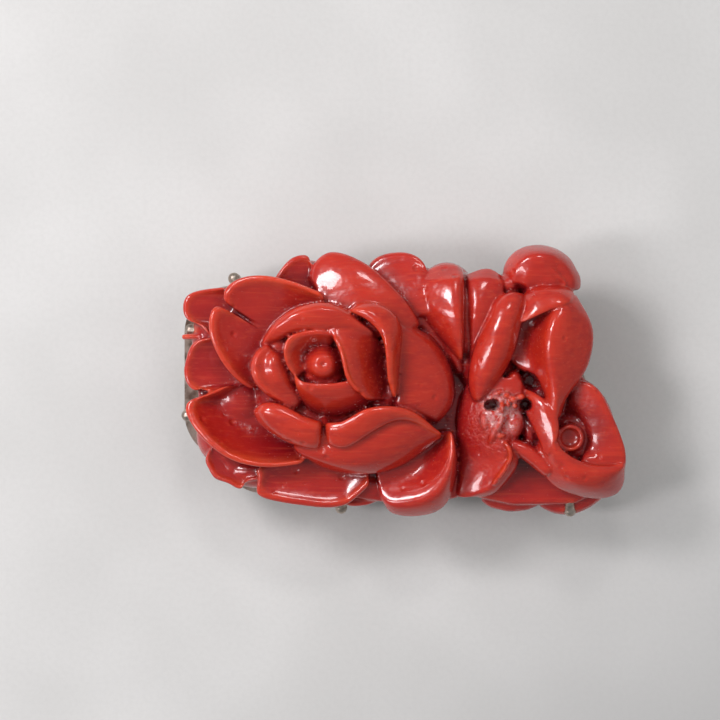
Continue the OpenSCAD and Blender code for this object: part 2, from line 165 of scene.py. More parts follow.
def close_up():
    """Fills what is left open, so that the piece is closed."""
    bpy.ops.mesh.select_all(action="SELECT")
    bpy.ops.mesh.fill_holes(sides=0)
    face_outwards()


def swell_shoulders(piece, middle):
    """Pushes out a section's corners between its top, bottom and sides, and leaves it all selected."""
    for v in piece.data.vertices:
        off = v.co.normalized()
        v.select = min(abs(off.x), abs(off.y)) > SHOULDER_FROM
    for e in piece.data.edges:
        e.select = False
    for f in piece.data.polygons:
        f.select = False
    edit()
    bpy.ops.mesh.select_mode(type="VERT")
    size_to((SHOULDER, 1, SHOULDER), middle)
    bpy.ops.mesh.select_all(action="SELECT")


def ridge(rows):
    """A rounded ridge, extruded from section to section.

    A row is a section: x, y and height of its crest, half its width and half its depth. A row that
    gives no more than its crest is a thin bead.
    """
    rows = curve_through([row if len(row) > 3 else (*row, *BEAD) for row in rows])
    put_down()
    was = None
    for i, (x, y, top, wide, deep) in enumerate(rows):
        a, b = rows[max(i - 1, 0)], rows[min(i + 1, len(rows) - 1)]
        heading = math.atan2(b[1] - a[1], b[0] - a[0]) - math.pi / 2
        middle = spot(x, y, top) - Vector((0, 0, deep * MM))
        if was is None:
            bpy.ops.mesh.primitive_circle_add(vertices=RIDGE_SIDES, radius=MM, fill_type="NGON",
                                              location=middle, rotation=(math.pi / 2, 0, 0))
            piece = bpy.context.object
            swell_shoulders(piece, middle)
            size_to((wide * ROUND_LOSS, 1, deep * ROUND_LOSS), middle)
            turn(heading, "Z", middle)
        else:
            old_middle, old_wide, old_deep, old_heading = was
            bpy.ops.mesh.extrude_region_move(TRANSFORM_OT_translate={"value": middle - old_middle})
            size_to((wide / old_wide, 1, deep / old_deep), middle, Matrix.Rotation(old_heading, 3, "Z"))
            swing = (heading - old_heading + math.pi) % (2 * math.pi) - math.pi
            turn(swing, "Z", middle)
        was = middle, wide, deep, heading
    face_outwards()
    put_down()
    return rounded(piece)


# A sheet petal's section from its rim to its root and back under: the share of the way in, the drop
# in millimetres below the straight line from rim to root, and how much of the petal's dish it takes
PETAL_SECTION = [
    (0.0, 0.62, 0), (0.012, 0.2, 0), (0.045, 0.0, 0), (0.09, 0.0, 0), (0.12, 0.17, 0.1), (0.3, 0.3, 0.65),
    (0.55, 0.3, 1), (0.8, 0.3, 0.8), (1.0, 0.3, 0.3), (1.0, 3.4, 0), (0.5, 3.2, 0.5), (0.07, 2.1, 0)]


def petal(root, share, dish, rim):
    """A sheet petal: its rim is drawn point by point, then extruded in towards its root, down and back
    under."""
    rim = curve_through(rim)
    centre = spot(*root)
    piece = point_at(spot(*rim[0]))
    draw_along(rim)
    bpy.ops.mesh.select_all(action="SELECT")
    near, low = 1.0, 0.0
    for i, (inward, drop, hollow) in enumerate(PETAL_SECTION):
        left, lower = 1 - inward * share, -(drop + hollow * dish)
        if i:
            bpy.ops.mesh.extrude_edges_move(TRANSFORM_OT_translate={"value": (0, 0, -low * MM)})
            size_to((left / near,) * 3, centre)
        lift(lower)
        near, low = left, lower
    bpy.ops.mesh.select_all(action="DESELECT")
    put_down()
    n = len(rim)
    mesh = piece.data
    for v in mesh.vertices:
        v.select = v.index < n or v.index >= len(mesh.vertices) - n
    for e in mesh.edges:
        p, q = e.vertices
        e.select = abs(p - q) == 1 and (max(p, q) < n or min(p, q) >= len(mesh.vertices) - n)
    take(piece)
    edit()
    bpy.ops.mesh.select_mode(type="EDGE")
    bpy.ops.mesh.bridge_edge_loops()
    close_up()
    bpy.ops.mesh.select_mode(type="VERT")
    put_down()
    return rounded(piece)


def plate(outline, foot, crown):
    """A leaf or face of a petal: its edge is drawn round at its own heights, filled, drawn down to a
    flat foot, and its face is inset and raised step by step. Crown is those steps: inset and rise."""
    piece = point_at(spot(*outline[0]))
    draw_along(outline)
    bpy.ops.mesh.select_all(action="SELECT")
    bpy.ops.mesh.edge_face_add()
    bpy.ops.mesh.extrude_region_move(TRANSFORM_OT_translate={"value": (0, 0, -PLATE_DRAWN * MM)})
    size_to((1, 1, 0), spot(0, 0, foot))
    face_outwards()
    bpy.ops.mesh.select_mode(type="FACE")
    put_down()
    for f in piece.data.polygons:
        f.select = len(f.vertices) == len(outline) and f.center.z > (foot + PLATE_CLEAR + CORAL_BACK) * MM
    edit()
    for inset, rise in crown:
        bpy.ops.mesh.inset(thickness=inset * MM, use_even_offset=True)
        lift(rise)
    bpy.ops.mesh.select_mode(type="VERT")
    put_down()
    return rounded(piece)


def beside(rail, other):
    """The rail moved towards the other by the width of a bevel."""
    moved = []
    for u, v in zip(rail, other):
        apart = max(math.dist(u, v), EDGE_WIDE)
        moved.append(tuple(p + (q - p) * EDGE_WIDE / apart for p, q in zip(u, v)))
    return moved


def edge_down(rail, foot):
    """An edge's rails from its bevel down its wall to the foot."""
    drops = [[(x, y, z - drop) for x, y, z in rail] for drop in (EDGE_DROP, EDGE_DROP + EDGE_WALL)]
    return drops + [[(x, y, foot) for x, y, z in rail]]


def band(foot, *rails):
    """A carved petal drawn as rails that run along it: each rail point by point, bridged to the next
    across the petal, with walls down to its foot. A close rail by each edge leaves a narrow bevel."""
    rails = [curve_through(r) for r in rails]
    inner = [beside(rails[0], rails[1])] + rails[1:-1] + [beside(rails[-1], rails[-2])]
    rails = edge_down(rails[0], foot)[::-1] + inner + edge_down(rails[-1], foot)
    piece = point_at(spot(*rails[0][0]))
    n = len(rails[0])
    for k, rail in enumerate(rails):
        if k:
            away = spot(*rail[0]) - spot(*rails[k - 1][-1])
            bpy.ops.mesh.duplicate_move(TRANSFORM_OT_translate={"value": away})
        draw_along(rail)
    for k in range(len(rails)):
        low, high = sorted((k, (k + 1) % len(rails)))
        put_down()
        for v in piece.data.vertices:
            v.select = v.index // n in (low, high)
        for e in piece.data.edges:
            e.select = e.vertices[0] // n == e.vertices[1] // n and e.vertices[0] // n in (low, high)
        for f in piece.data.polygons:
            f.select = False
        take(piece)
        edit()
        bpy.ops.mesh.select_mode(type="EDGE")
        bpy.ops.mesh.bridge_edge_loops()
    close_up()
    bpy.ops.mesh.select_mode(type="VERT")
    put_down()
    return rounded(piece)


def dome(x, y, top, long, wide, deep, swing):
    """A full rounded body: a ball drawn out to its length, width and depth, and swung round."""
    middle = spot(x, y, top - deep)
    put_down()
    bpy.ops.mesh.primitive_uv_sphere_add(segments=ROUND_SIDES, ring_count=ROUND_SIDES // 2, radius=MM,
                                         location=middle)
    piece = bpy.context.object
    edit()
    size_to((long, wide, deep), middle)
    turn(math.radians(swing), "Z", middle)
    put_down()
    return piece


def turned_form(x, y, profile):
    """A round form spun about an upright axis from its profile of radius and height."""
    piece = point_at(spot(x + profile[0][0], y, profile[0][1]))
    for (r0, h0), (r1, h1) in zip(profile, profile[1:]):
        out = ((r1 - r0) * MM, 0, (h1 - h0) * MM)
        bpy.ops.mesh.extrude_vertices_move(TRANSFORM_OT_translate={"value": out})
    bpy.ops.mesh.select_all(action="SELECT")
    bpy.ops.mesh.spin(steps=ROUND_SIDES, angle=2 * math.pi, center=spot(x, y, 0), axis=(0, 0, 1))
    bpy.ops.mesh.select_all(action="SELECT")
    bpy.ops.mesh.remove_doubles(threshold=0.01 * MM)
    close_up()
    put_down()
    return piece


def slab(outline, high):
    """The solid back under the petals, drawn round its outline, filled and raised."""
    piece = point_at(spot(*outline[0], 0))
    draw_along([(x, y, 0) for x, y in outline])
    bpy.ops.mesh.select_all(action="SELECT")
    bpy.ops.mesh.edge_face_add()
    bpy.ops.mesh.extrude_region_move(TRANSFORM_OT_translate={"value": (0, 0, high * MM)})
    face_outwards()
    bpy.ops.mesh.bevel(offset=BACK_BEVEL * MM, segments=3, affect="EDGES")
    put_down()
    return piece


# The camera looks straight down, as the photo does, over a field this many millimetres wide
FIELD = 72
LENS = 200
SENSOR = 36
FOCUS_HIGH = 8.5
FIELD_MIDDLE = (-4.3, 2.15)
camera_data = bpy.data.cameras.new("camera")
camera_data.lens = LENS
camera_data.sensor_width = SENSOR
camera = bpy.data.objects.new("camera", camera_data)
bpy.context.scene.collection.objects.link(camera)
camera.location = [c * MM for c in (*FIELD_MIDDLE, FOCUS_HIGH + FIELD * LENS / SENSOR)]
camera_data.clip_start = 0.01
bpy.context.scene.camera = camera

# The coral's outline at its back
BACK = [
    (-20.4, 7.8), (-17.0, 8.8), (-12.4, 10.2), (-9.4, 11.2), (-4.0, 11.5), (1.0, 11.7), (5.4, 10.8),
    (9.0, 10.2), (12.0, 12.1), (15.6, 11.2), (17.4, 7.6), (17.2, 1.6), (19.8, -1.8), (21.2, -6.6),
    (20.6, -10.6), (17.2, -12.3), (11.0, -12.4), (6.4, -11.4), (2.6, -12.4), (-1.2, -12.2), (-5.4, -11.6),
    (-12.6, -11.2), (-17.4, -9.2), (-20.0, -5.2), (-20.8, 0.6)]

# Petals and leaves drawn as rails: the height of the foot, and the rails from edge to edge
BANDS = [
    # inner petal round the bud from the left, its lip and the slope inside it
    [4,
     [(-6.9, 5.0, 9.8), (-8.5, 5.2, 10.1), (-10.1, 4.95, 10.2), (-11.3, 4.5, 10.2), (-11.85, 3.4, 10.0),
      (-11.75, 2.1, 9.7), (-11.2, 1.0, 9.3), (-10.5, 0.3, 8.9)],
     [(-6.8, 4.6, 9.7), (-8.4, 4.75, 9.9), (-9.8, 4.5, 9.9), (-10.75, 4.05, 9.8), (-11.2, 3.2, 9.5),
      (-11.15, 2.2, 9.2), (-10.7, 1.3, 8.8), (-10.2, 0.75, 8.4)],
     [(-6.8, 4.0, 9.0), (-8.2, 4.0, 8.9), (-9.2, 3.8, 8.9), (-9.9, 3.4, 8.8), (-10.25, 2.8, 8.6),
      (-10.25, 2.1, 8.5), (-10.0, 1.5, 8.4), (-9.7, 1.1, 8.2)],
     [(-6.9, 3.6, 8.9), (-8.1, 3.6, 8.4), (-8.9, 3.4, 8.0), (-9.3, 3.1, 7.9), (-9.6, 2.6, 7.8),
      (-9.6, 2.0, 7.8), (-9.5, 1.5, 7.8), (-9.3, 1.2, 7.8)]],
    # inner petal right of the bud, its face falling to the right
    [4,
     [(-7.9, 5.6, 9.6), (-6.95, 4.4, 10.3), (-6.35, 3.2, 10.7), (-6.0, 1.8, 10.7), (-5.75, 0.6, 10.6),
      (-5.2, -0.3, 10.3), (-4.4, -1.1, 10.0), (-3.5, -2.0, 9.3)],
     [(-6.8, 5.7, 9.7), (-5.9, 4.6, 10.1), (-5.3, 3.3, 10.4), (-5.0, 2.0, 10.3), (-4.7, 0.7, 10.1),
      (-4.2, -0.2, 9.8), (-3.6, -1.0, 9.4), (-2.9, -1.9, 8.8)],
     [(-5.4, 5.7, 9.5), (-4.5, 4.8, 9.5), (-3.9, 3.5, 9.3), (-3.5, 2.1, 9.1), (-3.1, 0.8, 8.8),
      (-2.8, -0.2, 8.5), (-2.4, -1.0, 8.2), (-2.0, -1.9, 7.8)],
     [(-4.0, 5.6, 9.2), (-3.0, 4.8, 8.8), (-2.1, 3.6, 8.1), (-1.7, 2.1, 7.2), (-1.4, 0.8, 7.0),
      (-1.2, -0.2, 6.9), (-1.0, -1.1, 6.8), (-0.8, -2.0, 6.8)]],
    # inner petal below the bud, its face falling to the front
    [4,
     [(-10.9, 1.1, 9.0), (-10.25, 0.15, 9.7), (-9.2, -0.1, 9.9), (-8.0, -0.15, 9.9), (-6.8, -0.1, 9.9),
      (-5.6, 0.1, 10.0), (-5.0, 0.3, 9.6)],
     [(-10.9, 0.0, 8.9), (-10.25, -0.6, 9.4), (-9.2, -0.85, 9.6), (-7.9, -0.95, 9.6), (-6.5, -0.9, 9.6),
      (-5.0, -0.7, 9.6), (-4.2, -0.5, 9.2)],
     [(-10.5, -1.2, 8.2), (-9.8, -1.8, 8.4), (-8.8, -2.2, 8.5), (-7.6, -2.3, 8.5), (-6.2, -2.2, 8.6),
      (-4.3, -1.7, 8.8), (-3.4, -1.4, 8.4)],
     [(-10.0, -2.2, 7.4), (-9.2, -2.9, 7.4), (-8.3, -3.3, 7.4), (-7.2, -3.4, 7.4), (-5.8, -3.3, 7.5),
      (-3.8, -2.4, 7.9), (-2.8, -2.0, 7.6)]],
    # tall petal to the right, its crest on its inner edge
    [4,
     [(-5.6, 7.0, 9.75), (-4.3, 6.5, 10.45), (-3.0, 5.6, 10.8), (-2.15, 4.4, 10.86), (-1.8, 3.0, 10.82),
      (-1.66, 1.5, 10.5), (-1.5, -0.2, 9.93), (-1.0, -1.8, 9.1)],
     [(-5.1, 7.3, 9.9), (-3.85, 7.1, 10.6), (-2.5, 6.3, 10.87), (-1.58, 4.9, 10.88), (-1.2, 3.2, 10.84),
      (-1.08, 1.6, 10.52), (-1.0, -0.2, 9.96), (-0.75, -1.8, 9.15)],
     [(-4.8, 7.7, 9.4), (-3.5, 7.85, 9.9), (-2.0, 7.5, 10.0), (-0.8, 6.6, 9.9), (-0.2, 5.2, 9.6),
      (-0.2, 3.4, 9.2), (-0.4, 1.2, 8.7), (-0.45, -0.9, 8.2)]],
    # crescent above the bud
    [4,
     [(-14.3, 3.5, 7.3), (-13.6, 4.9, 8.4), (-12.4, 6.3, 9.1), (-10.7, 7.35, 9.6), (-8.6, 7.85, 9.8),
      (-6.9, 7.7, 9.8), (-5.5, 7.1, 9.6), (-4.3, 6.2, 9.3), (-2.9, 5.0, 9.0)],
     [(-14.1, 3.5, 7.6), (-13.2, 4.8, 9.1), (-12.0, 5.9, 9.9), (-10.4, 6.75, 10.3), (-8.5, 7.1, 10.4),
      (-7.0, 7.0, 10.4), (-5.6, 6.5, 10.2), (-4.3, 5.8, 9.8), (-2.8, 4.8, 9.2)],
     [(-13.6, 3.5, 7.5), (-12.6, 4.4, 9.0), (-11.6, 5.2, 9.7), (-10.2, 5.8, 10.1), (-8.5, 6.05, 10.3),
      (-7.1, 6.0, 10.3), (-5.8, 5.7, 10.0), (-4.3, 5.3, 9.6), (-2.7, 4.6, 9.0)],
     [(-13.3, 3.4, 7.2), (-12.3, 4.0, 8.6), (-11.3, 4.6, 9.3), (-10.0, 5.0, 9.7), (-8.5, 5.1, 9.8),
      (-7.2, 5.1, 9.8), (-5.9, 4.9, 9.6), (-4.3, 4.6, 9.2), (-2.7, 4.2, 8.6)]],
    # short petal on the left
    [4,
     [(-13.3, 3.9, 8.0), (-14.5, 3.2, 8.5), (-15.1, 2.0, 8.8), (-15.1, 0.8, 9.0), (-14.6, -0.3, 8.9),
      (-13.6, -1.3, 8.7), (-12.3, -2.1, 8.3), (-10.8, -3.0, 7.7)],
     [(-13.2, 3.6, 8.4), (-14.1, 3.0, 8.9), (-14.6, 1.95, 9.2), (-14.55, 0.85, 9.3), (-14.1, -0.15, 9.2),
      (-13.2, -1.1, 8.9), (-12.1, -1.85, 8.5), (-10.7, -2.85, 7.9)],
     [(-12.9, 3.2, 8.2), (-13.5, 2.7, 8.5), (-13.9, 1.85, 8.6), (-13.75, 0.9, 8.7), (-13.3, 0.0, 8.6),
      (-12.6, -0.8, 8.4), (-11.6, -1.5, 8.2), (-10.4, -2.5, 7.7)],
     [(-12.6, 2.9, 8.6), (-12.9, 2.45, 9.2), (-13.0, 1.75, 9.5), (-12.8, 0.9, 9.6), (-12.4, 0.1, 9.4),
      (-11.9, -0.6, 8.9), (-11.1, -1.3, 8.2), (-10.2, -2.3, 7.6)],
     [(-11.8, 2.8, 8.2), (-11.7, 2.2, 8.4), (-11.6, 1.6, 8.5), (-11.4, 0.9, 8.5), (-11.1, 0.2, 8.3),
      (-10.8, -0.4, 8.1), (-10.4, -1.0, 7.9), (-9.8, -2.0, 7.3)]],
    # broad petal at the lower left
    [3,
     [(-15.0, -3.0, 7.5), (-14.1, -2.1, 8.5), (-12.7, -2.05, 9.0), (-11.3, -2.6, 9.2), (-10.0, -3.3, 9.3),
      (-8.9, -3.7, 9.3), (-8.25, -3.9, 9.1), (-8.0, -4.0, 8.5)],
     [(-14.9, -3.2, 7.6), (-14.0, -2.9, 9.0), (-12.8, -3.1, 9.4), (-11.4, -3.6, 9.6), (-10.1, -4.1, 9.7),
      (-9.0, -4.5, 9.6), (-8.35, -4.6, 9.4), (-8.05, -4.7, 8.7)],
     [(-14.7, -3.5, 7.6), (-13.9, -3.8, 8.6), (-12.7, -4.6, 9.0), (-11.4, -5.1, 9.2), (-10.1, -5.5, 9.3),
      (-9.1, -5.7, 9.2), (-8.45, -5.75, 9.0), (-8.1, -5.8, 8.4)],
     [(-14.6, -3.9, 7.4), (-13.7, -4.7, 7.9), (-12.5, -5.5, 8.1), (-11.3, -6.1, 8.2), (-10.1, -6.5, 8.3),
      (-9.3, -6.65, 8.3), (-8.65, -6.7, 8.2), (-8.25, -6.65, 7.9)]],
    # lip at the lower right, running out to a point
    [4,
     [(-7.85, -4.2, 8.6), (-7.4, -4.0, 9.3), (-6.3, -4.0, 9.7), (-5.2, -3.45, 10.0), (-3.9, -2.7, 10.2),
      (-2.5, -2.4, 10.2), (-0.9, -2.4, 10.0), (0.6, -2.75, 9.6), (1.9, -3.55, 8.9), (2.9, -4.4, 8.2),
      (3.9, -5.2, 7.4)],
     [(-7.8, -4.9, 8.6), (-7.35, -4.85, 9.3), (-6.4, -5.0, 9.6), (-5.3, -4.5, 9.9), (-4.0, -3.6, 10.2),
      (-2.6, -3.0, 10.2), (-0.9, -2.9, 10.0), (0.5, -3.15, 9.6), (1.8, -3.85, 8.9), (2.8, -4.7, 8.1),
      (3.85, -5.3, 7.3)],
     [(-7.6, -6.1, 8.2), (-7.1, -6.35, 8.7), (-6.0, -6.6, 8.9), (-4.8, -6.1, 9.2), (-3.4, -5.2, 9.4),
      (-2.1, -4.4, 9.5), (-0.8, -3.9, 9.4), (0.3, -3.85, 9.2), (1.6, -4.3, 8.6), (2.6, -5.0, 7.9),
      (3.8, -5.45, 7.2)]],
    # tall outer face below that lip
    [3,
     [(-11.2, -6.2, 7.0), (-9.3, -6.3, 7.6), (-7.4, -5.9, 8.0), (-5.4, -5.4, 8.3), (-3.4, -4.6, 8.5),
      (-1.4, -3.7, 8.6), (0.4, -3.6, 8.5), (2.0, -4.3, 8.0), (3.95, -5.4, 7.0)],
     [(-11.0, -6.6, 6.9), (-9.2, -7.0, 7.6), (-7.3, -6.9, 8.1), (-5.2, -6.5, 8.4), (-3.1, -5.9, 8.6),
      (-1.2, -5.2, 8.7), (0.5, -4.9, 8.5), (2.1, -5.1, 7.9), (3.9, -5.5, 6.9)],
     [(-10.7, -7.0, 6.9), (-9.0, -7.6, 7.4), (-7.2, -8.0, 7.7), (-5.0, -8.1, 7.9), (-2.9, -7.8, 8.0),
      (-1.0, -7.2, 7.9), (0.6, -6.6, 7.6), (2.1, -6.0, 7.2), (3.8, -5.6, 6.7)],
     [(-10.4, -7.2, 6.2), (-8.8, -8.2, 6.2), (-7.0, -8.9, 6.2), (-4.9, -9.25, 6.2), (-2.8, -9.2, 6.2),
      (-0.9, -8.7, 6.2), (0.8, -7.8, 6.2), (2.2, -6.8, 6.2), (3.7, -5.7, 6.2)]],
    # full outer face on the right of the rose
    [2.5,
     [(-0.9, 6.0, 8.4), (-0.5, 5.2, 9.0), (-0.4, 3.6, 9.0), (-0.4, 2.0, 8.7), (-0.45, 0.4, 8.4),
      (-0.6, -1.2, 8.2), (-0.9, -2.5, 8.0)],
     [(0.2, 5.85, 7.6), (0.9, 4.9, 8.4), (1.0, 3.4, 8.6), (1.1, 1.9, 8.5), (1.0, 0.3, 8.3),
      (0.8, -1.4, 8.1), (0.3, -2.9, 7.9)],
     [(1.4, 5.4, 7.0), (2.3, 4.4, 7.6), (2.7, 3.1, 7.9), (3.0, 1.7, 7.9), (3.1, 0.1, 7.8),
      (2.8, -1.7, 7.6), (1.9, -3.6, 7.4)],
     [(2.4, 4.9, 6.4), (3.4, 3.7, 6.7), (4.1, 2.5, 6.8), (4.5, 1.2, 6.9), (4.65, -0.2, 6.9),
      (4.3, -2.2, 6.8), (2.9, -4.1, 6.8)],
     [(2.7, 4.7, 5.9), (3.75, 3.5, 5.9), (4.5, 2.2, 5.9), (5.0, 0.8, 5.9), (5.2, -0.9, 5.9),
      (4.8, -2.7, 5.9), (3.2, -4.5, 5.9)]],
    # broad petal along the top of the rose
    [3,
     [(-9.4, 10.2, 6.0), (-9.2, 11.4, 6.0), (-8.0, 12.7, 6.05), (-6.6, 12.95, 6.3), (-4.7, 12.3, 6.9),
      (-2.9, 11.2, 7.4), (-1.1, 9.5, 7.9), (0.5, 7.7, 8.0), (1.9, 5.4, 7.5)],
     [(-9.0, 9.8, 6.75), (-8.7, 10.7, 6.65), (-7.8, 11.3, 6.8), (-6.6, 11.4, 7.2), (-5.0, 10.9, 7.7),
      (-3.6, 10.0, 8.0), (-2.0, 8.5, 8.3), (-0.5, 7.0, 8.3), (1.2, 5.2, 7.8)],
     [(-8.6, 9.2, 7.0), (-8.3, 9.6, 7.05), (-7.6, 9.8, 7.25), (-6.4, 9.6, 7.7), (-5.2, 9.2, 8.05),
      (-4.0, 8.6, 8.3), (-2.4, 7.4, 8.55), (-1.1, 6.2, 8.5), (0.6, 4.9, 8.1)],
     [(-8.3, 7.2, 7.3), (-8.0, 7.1, 7.4), (-7.4, 7.0, 7.6), (-6.2, 6.8, 8.0), (-5.2, 6.5, 8.3),
      (-4.2, 6.1, 8.5), (-3.0, 5.6, 8.6), (-1.8, 4.9, 8.6), (0.0, 4.4, 8.3)]],
    # broad leaf beside the rose, with the slope at its top
    [2,
     [(5.95, 11.4, 5.3), (6.0, 10.75, 6.8), (6.05, 10.2, 7.2), (6.1, 9.0, 7.5), (6.1, 7.4, 7.8),
      (6.1, 5.8, 7.8), (6.1, 4.2, 7.5), (5.95, 1.9, 6.6)],
     [(5.3, 12.05, 5.0), (5.3, 10.6, 7.1), (5.3, 10.2, 7.7), (5.3, 9.0, 8.25), (5.4, 7.4, 8.65),
      (5.55, 5.8, 8.55), (5.7, 4.2, 8.0), (5.85, 2.0, 6.7)],
     [(3.8, 12.2, 4.9), (3.7, 10.4, 6.8), (3.6, 10.0, 7.25), (3.45, 8.9, 7.55), (3.9, 7.3, 8.0),
      (4.5, 5.7, 8.1), (5.0, 4.1, 7.7), (5.75, 2.05, 6.7)],
     [(2.2, 11.2, 4.9), (1.7, 10.4, 5.9), (1.2, 9.9, 6.0), (0.5, 8.6, 5.9), (1.5, 6.9, 6.2),
      (2.9, 5.2, 6.4), (4.2, 3.7, 6.5), (5.65, 2.1, 6.4)]],
    # leaf behind the long leaf, with the slope at its top
    [2,
     [(6.2, 10.8, 5.0), (6.3, 10.3, 6.1), (6.35, 9.8, 6.6), (6.35, 8.4, 7.0), (6.35, 6.6, 7.1),
      (6.4, 4.8, 6.9), (6.55, 2.6, 6.2), (6.65, 0.4, 5.8)],
     [(7.4, 11.35, 4.8), (7.5, 10.5, 6.4), (7.5, 10.0, 6.9), (7.35, 8.4, 7.5), (7.2, 6.6, 7.8),
      (7.1, 4.8, 7.2), (7.0, 2.6, 6.7), (6.95, 0.4, 6.2)],
     [(8.7, 11.75, 4.8), (8.6, 10.6, 6.4), (8.7, 10.1, 6.9), (8.5, 8.4, 7.4), (8.1, 6.6, 7.6),
      (7.7, 4.8, 7.1), (7.3, 2.6, 6.6), (7.2, 0.4, 6.1)],
     [(10.0, 10.6, 5.2), (10.1, 10.1, 6.2), (10.1, 9.7, 6.6), (9.9, 8.2, 6.8), (9.1, 6.4, 6.8),
      (8.4, 4.6, 6.6), (7.8, 2.4, 6.2), (7.5, 0.2, 5.8)]],
    # long leaf
    [2,
     [(10.1, 8.9, 7.2), (9.1, 8.1, 7.5), (8.25, 6.4, 7.6), (7.5, 4.6, 7.6), (6.8, 2.6, 7.4),
      (6.5, 0.8, 7.0), (6.55, -0.8, 6.7), (7.0, -2.0, 6.5)],
     [(10.4, 8.9, 7.45), (9.5, 7.7, 8.1), (9.0, 6.3, 8.5), (8.5, 4.7, 8.65), (8.0, 2.9, 8.45),
      (7.5, 1.2, 8.05), (7.25, -0.4, 7.4), (7.2, -2.05, 6.7)],
     [(10.8, 9.1, 7.6), (10.3, 7.7, 8.45), (9.95, 6.3, 8.9), (9.5, 4.7, 9.05), (9.0, 3.0, 8.85),
      (8.4, 1.3, 8.4), (7.9, -0.3, 7.75), (7.4, -2.1, 6.8)],
     [(11.4, 9.05, 7.6), (11.2, 7.6, 8.4), (10.8, 6.2, 8.7), (10.4, 4.7, 8.8), (9.9, 3.0, 8.6),
      (9.1, 1.3, 8.2), (8.3, -0.3, 7.6), (7.5, -2.05, 6.8)],
     [(12.0, 8.9, 7.1), (12.25, 7.8, 7.5), (11.9, 6.3, 7.7), (11.5, 4.7, 7.8), (11.0, 2.9, 7.7),
      (10.2, 1.1, 7.3), (9.0, -0.6, 6.9), (7.7, -1.9, 6.6)]],
    # folded leaf: its turned-over flap, then its hollow, ridge and standing side
    [3,
     [(11.5, 7.3, 6.6), (12.0, 8.9, 6.6), (13.3, 9.75, 6.6), (14.7, 9.85, 6.6), (16.1, 9.6, 6.7),
      (17.2, 8.7, 7.0)],
     [(11.6, 6.8, 7.5), (12.5, 8.2, 7.9), (13.6, 8.9, 8.1), (14.9, 9.0, 8.2), (16.0, 8.8, 8.1),
      (16.9, 8.3, 7.8)],
     [(11.5, 5.7, 8.2), (12.8, 6.3, 8.7), (13.9, 6.8, 8.9), (15.0, 7.3, 9.0), (15.9, 7.6, 9.0),
      (16.7, 7.9, 8.4)]],
    [3,
     [(11.4, 7.6, 6.4), (11.3, 6.0, 6.3), (11.0, 4.6, 6.2), (10.6, 3.1, 6.2), (10.9, 1.7, 6.2),
      (12.9, 0.5, 6.4), (13.9, -1.0, 7.2), (14.2, -2.4, 7.8), (14.3, -3.8, 7.7)],
     [(13.3, 8.0, 6.6), (13.3, 6.6, 6.4), (13.0, 5.0, 6.3), (12.8, 3.3, 6.3), (13.0, 1.7, 6.7),
      (13.7, 0.3, 7.4), (14.3, -0.9, 8.0), (14.6, -2.4, 8.2), (14.7, -3.8, 8.0)],
     [(15.0, 8.3, 7.8), (14.7, 7.3, 8.35), (14.3, 6.1, 8.85), (13.95, 4.7, 9.1), (13.9, 3.1, 9.0),
      (14.2, 1.5, 8.75), (14.6, -0.1, 8.5), (14.95, -2.2, 8.45), (14.85, -3.8, 8.1)],
     [(15.9, 8.4, 8.1), (15.6, 7.4, 8.75), (15.2, 6.2, 9.25), (14.8, 4.7, 9.45), (14.7, 3.0, 9.35),
      (14.8, 1.4, 9.05), (15.0, -0.2, 8.75), (15.2, -2.0, 8.6), (15.0, -3.8, 8.1)],
     [(16.7, 8.5, 7.6), (16.5, 7.5, 8.5), (16.5, 6.2, 8.9), (16.4, 4.6, 9.0), (16.2, 2.9, 8.8),
      (15.9, 1.2, 8.6), (15.6, -0.3, 8.4), (15.45, -2.1, 8.2), (15.25, -3.8, 8.0)],
     [(17.1, 8.9, 6.8), (17.7, 7.8, 7.1), (18.5, 6.4, 7.2), (18.95, 4.9, 7.2), (18.8, 3.0, 7.2),
      (18.2, 1.1, 7.2), (17.1, -0.4, 7.4), (16.1, -1.9, 7.6), (15.6, -3.8, 7.6)]],
    # broad stem from the small blossom and the folded leaf down to the cup
    [3,
     [(11.9, -0.6, 6.4), (13.1, -1.05, 7.4), (14.2, -1.9, 8.1), (15.1, -2.9, 8.3), (15.45, -4.2, 8.3),
      (15.4, -5.6, 8.2)],
     [(12.2, -1.7, 6.9), (13.1, -2.3, 7.7), (13.9, -3.1, 8.2), (14.5, -4.0, 8.4), (14.8, -5.1, 8.5),
      (15.0, -6.2, 8.6)],
     [(12.2, -3.2, 6.6), (12.7, -4.2, 7.1), (13.1, -5.0, 7.4), (13.5, -5.9, 7.6), (13.9, -6.8, 7.8),
      (14.4, -7.6, 7.9)]],
    # front of the cup
    [3,
     [(15.6, -4.2, 8.0), (15.2, -5.2, 8.2), (15.5, -6.4, 8.3), (16.35, -7.2, 8.2), (17.5, -7.85, 8.0),
      (18.9, -8.25, 7.7), (20.2, -8.3, 7.3), (21.3, -8.2, 6.9), (22.1, -7.7, 6.4)],
     [(15.0, -4.2, 8.3), (14.6, -5.5, 8.5), (14.9, -7.0, 8.4), (15.9, -8.1, 8.4), (17.3, -8.9, 8.5),
      (18.8, -9.2, 8.2), (20.2, -9.2, 7.8), (21.4, -8.9, 7.2), (22.15, -8.2, 6.6)],
     [(14.2, -4.2, 7.6), (13.7, -6.1, 7.3), (14.3, -8.0, 7.0), (15.4, -9.2, 7.5), (16.9, -10.1, 8.1),
      (18.7, -10.6, 7.5), (20.2, -10.5, 6.8), (21.4, -9.9, 6.2), (22.15, -8.9, 6.0)],
     [(13.9, -4.2, 6.6), (13.2, -6.6, 6.6), (13.7, -8.8, 6.4), (15.0, -10.4, 6.0), (16.9, -11.3, 5.6),
      (18.9, -11.7, 5.2), (20.7, -11.6, 4.9), (21.8, -10.9, 4.8), (22.2, -9.8, 4.8)]],
    # cupped petal below the rose, from its outer edge over its rim and down its bowl
    [1,
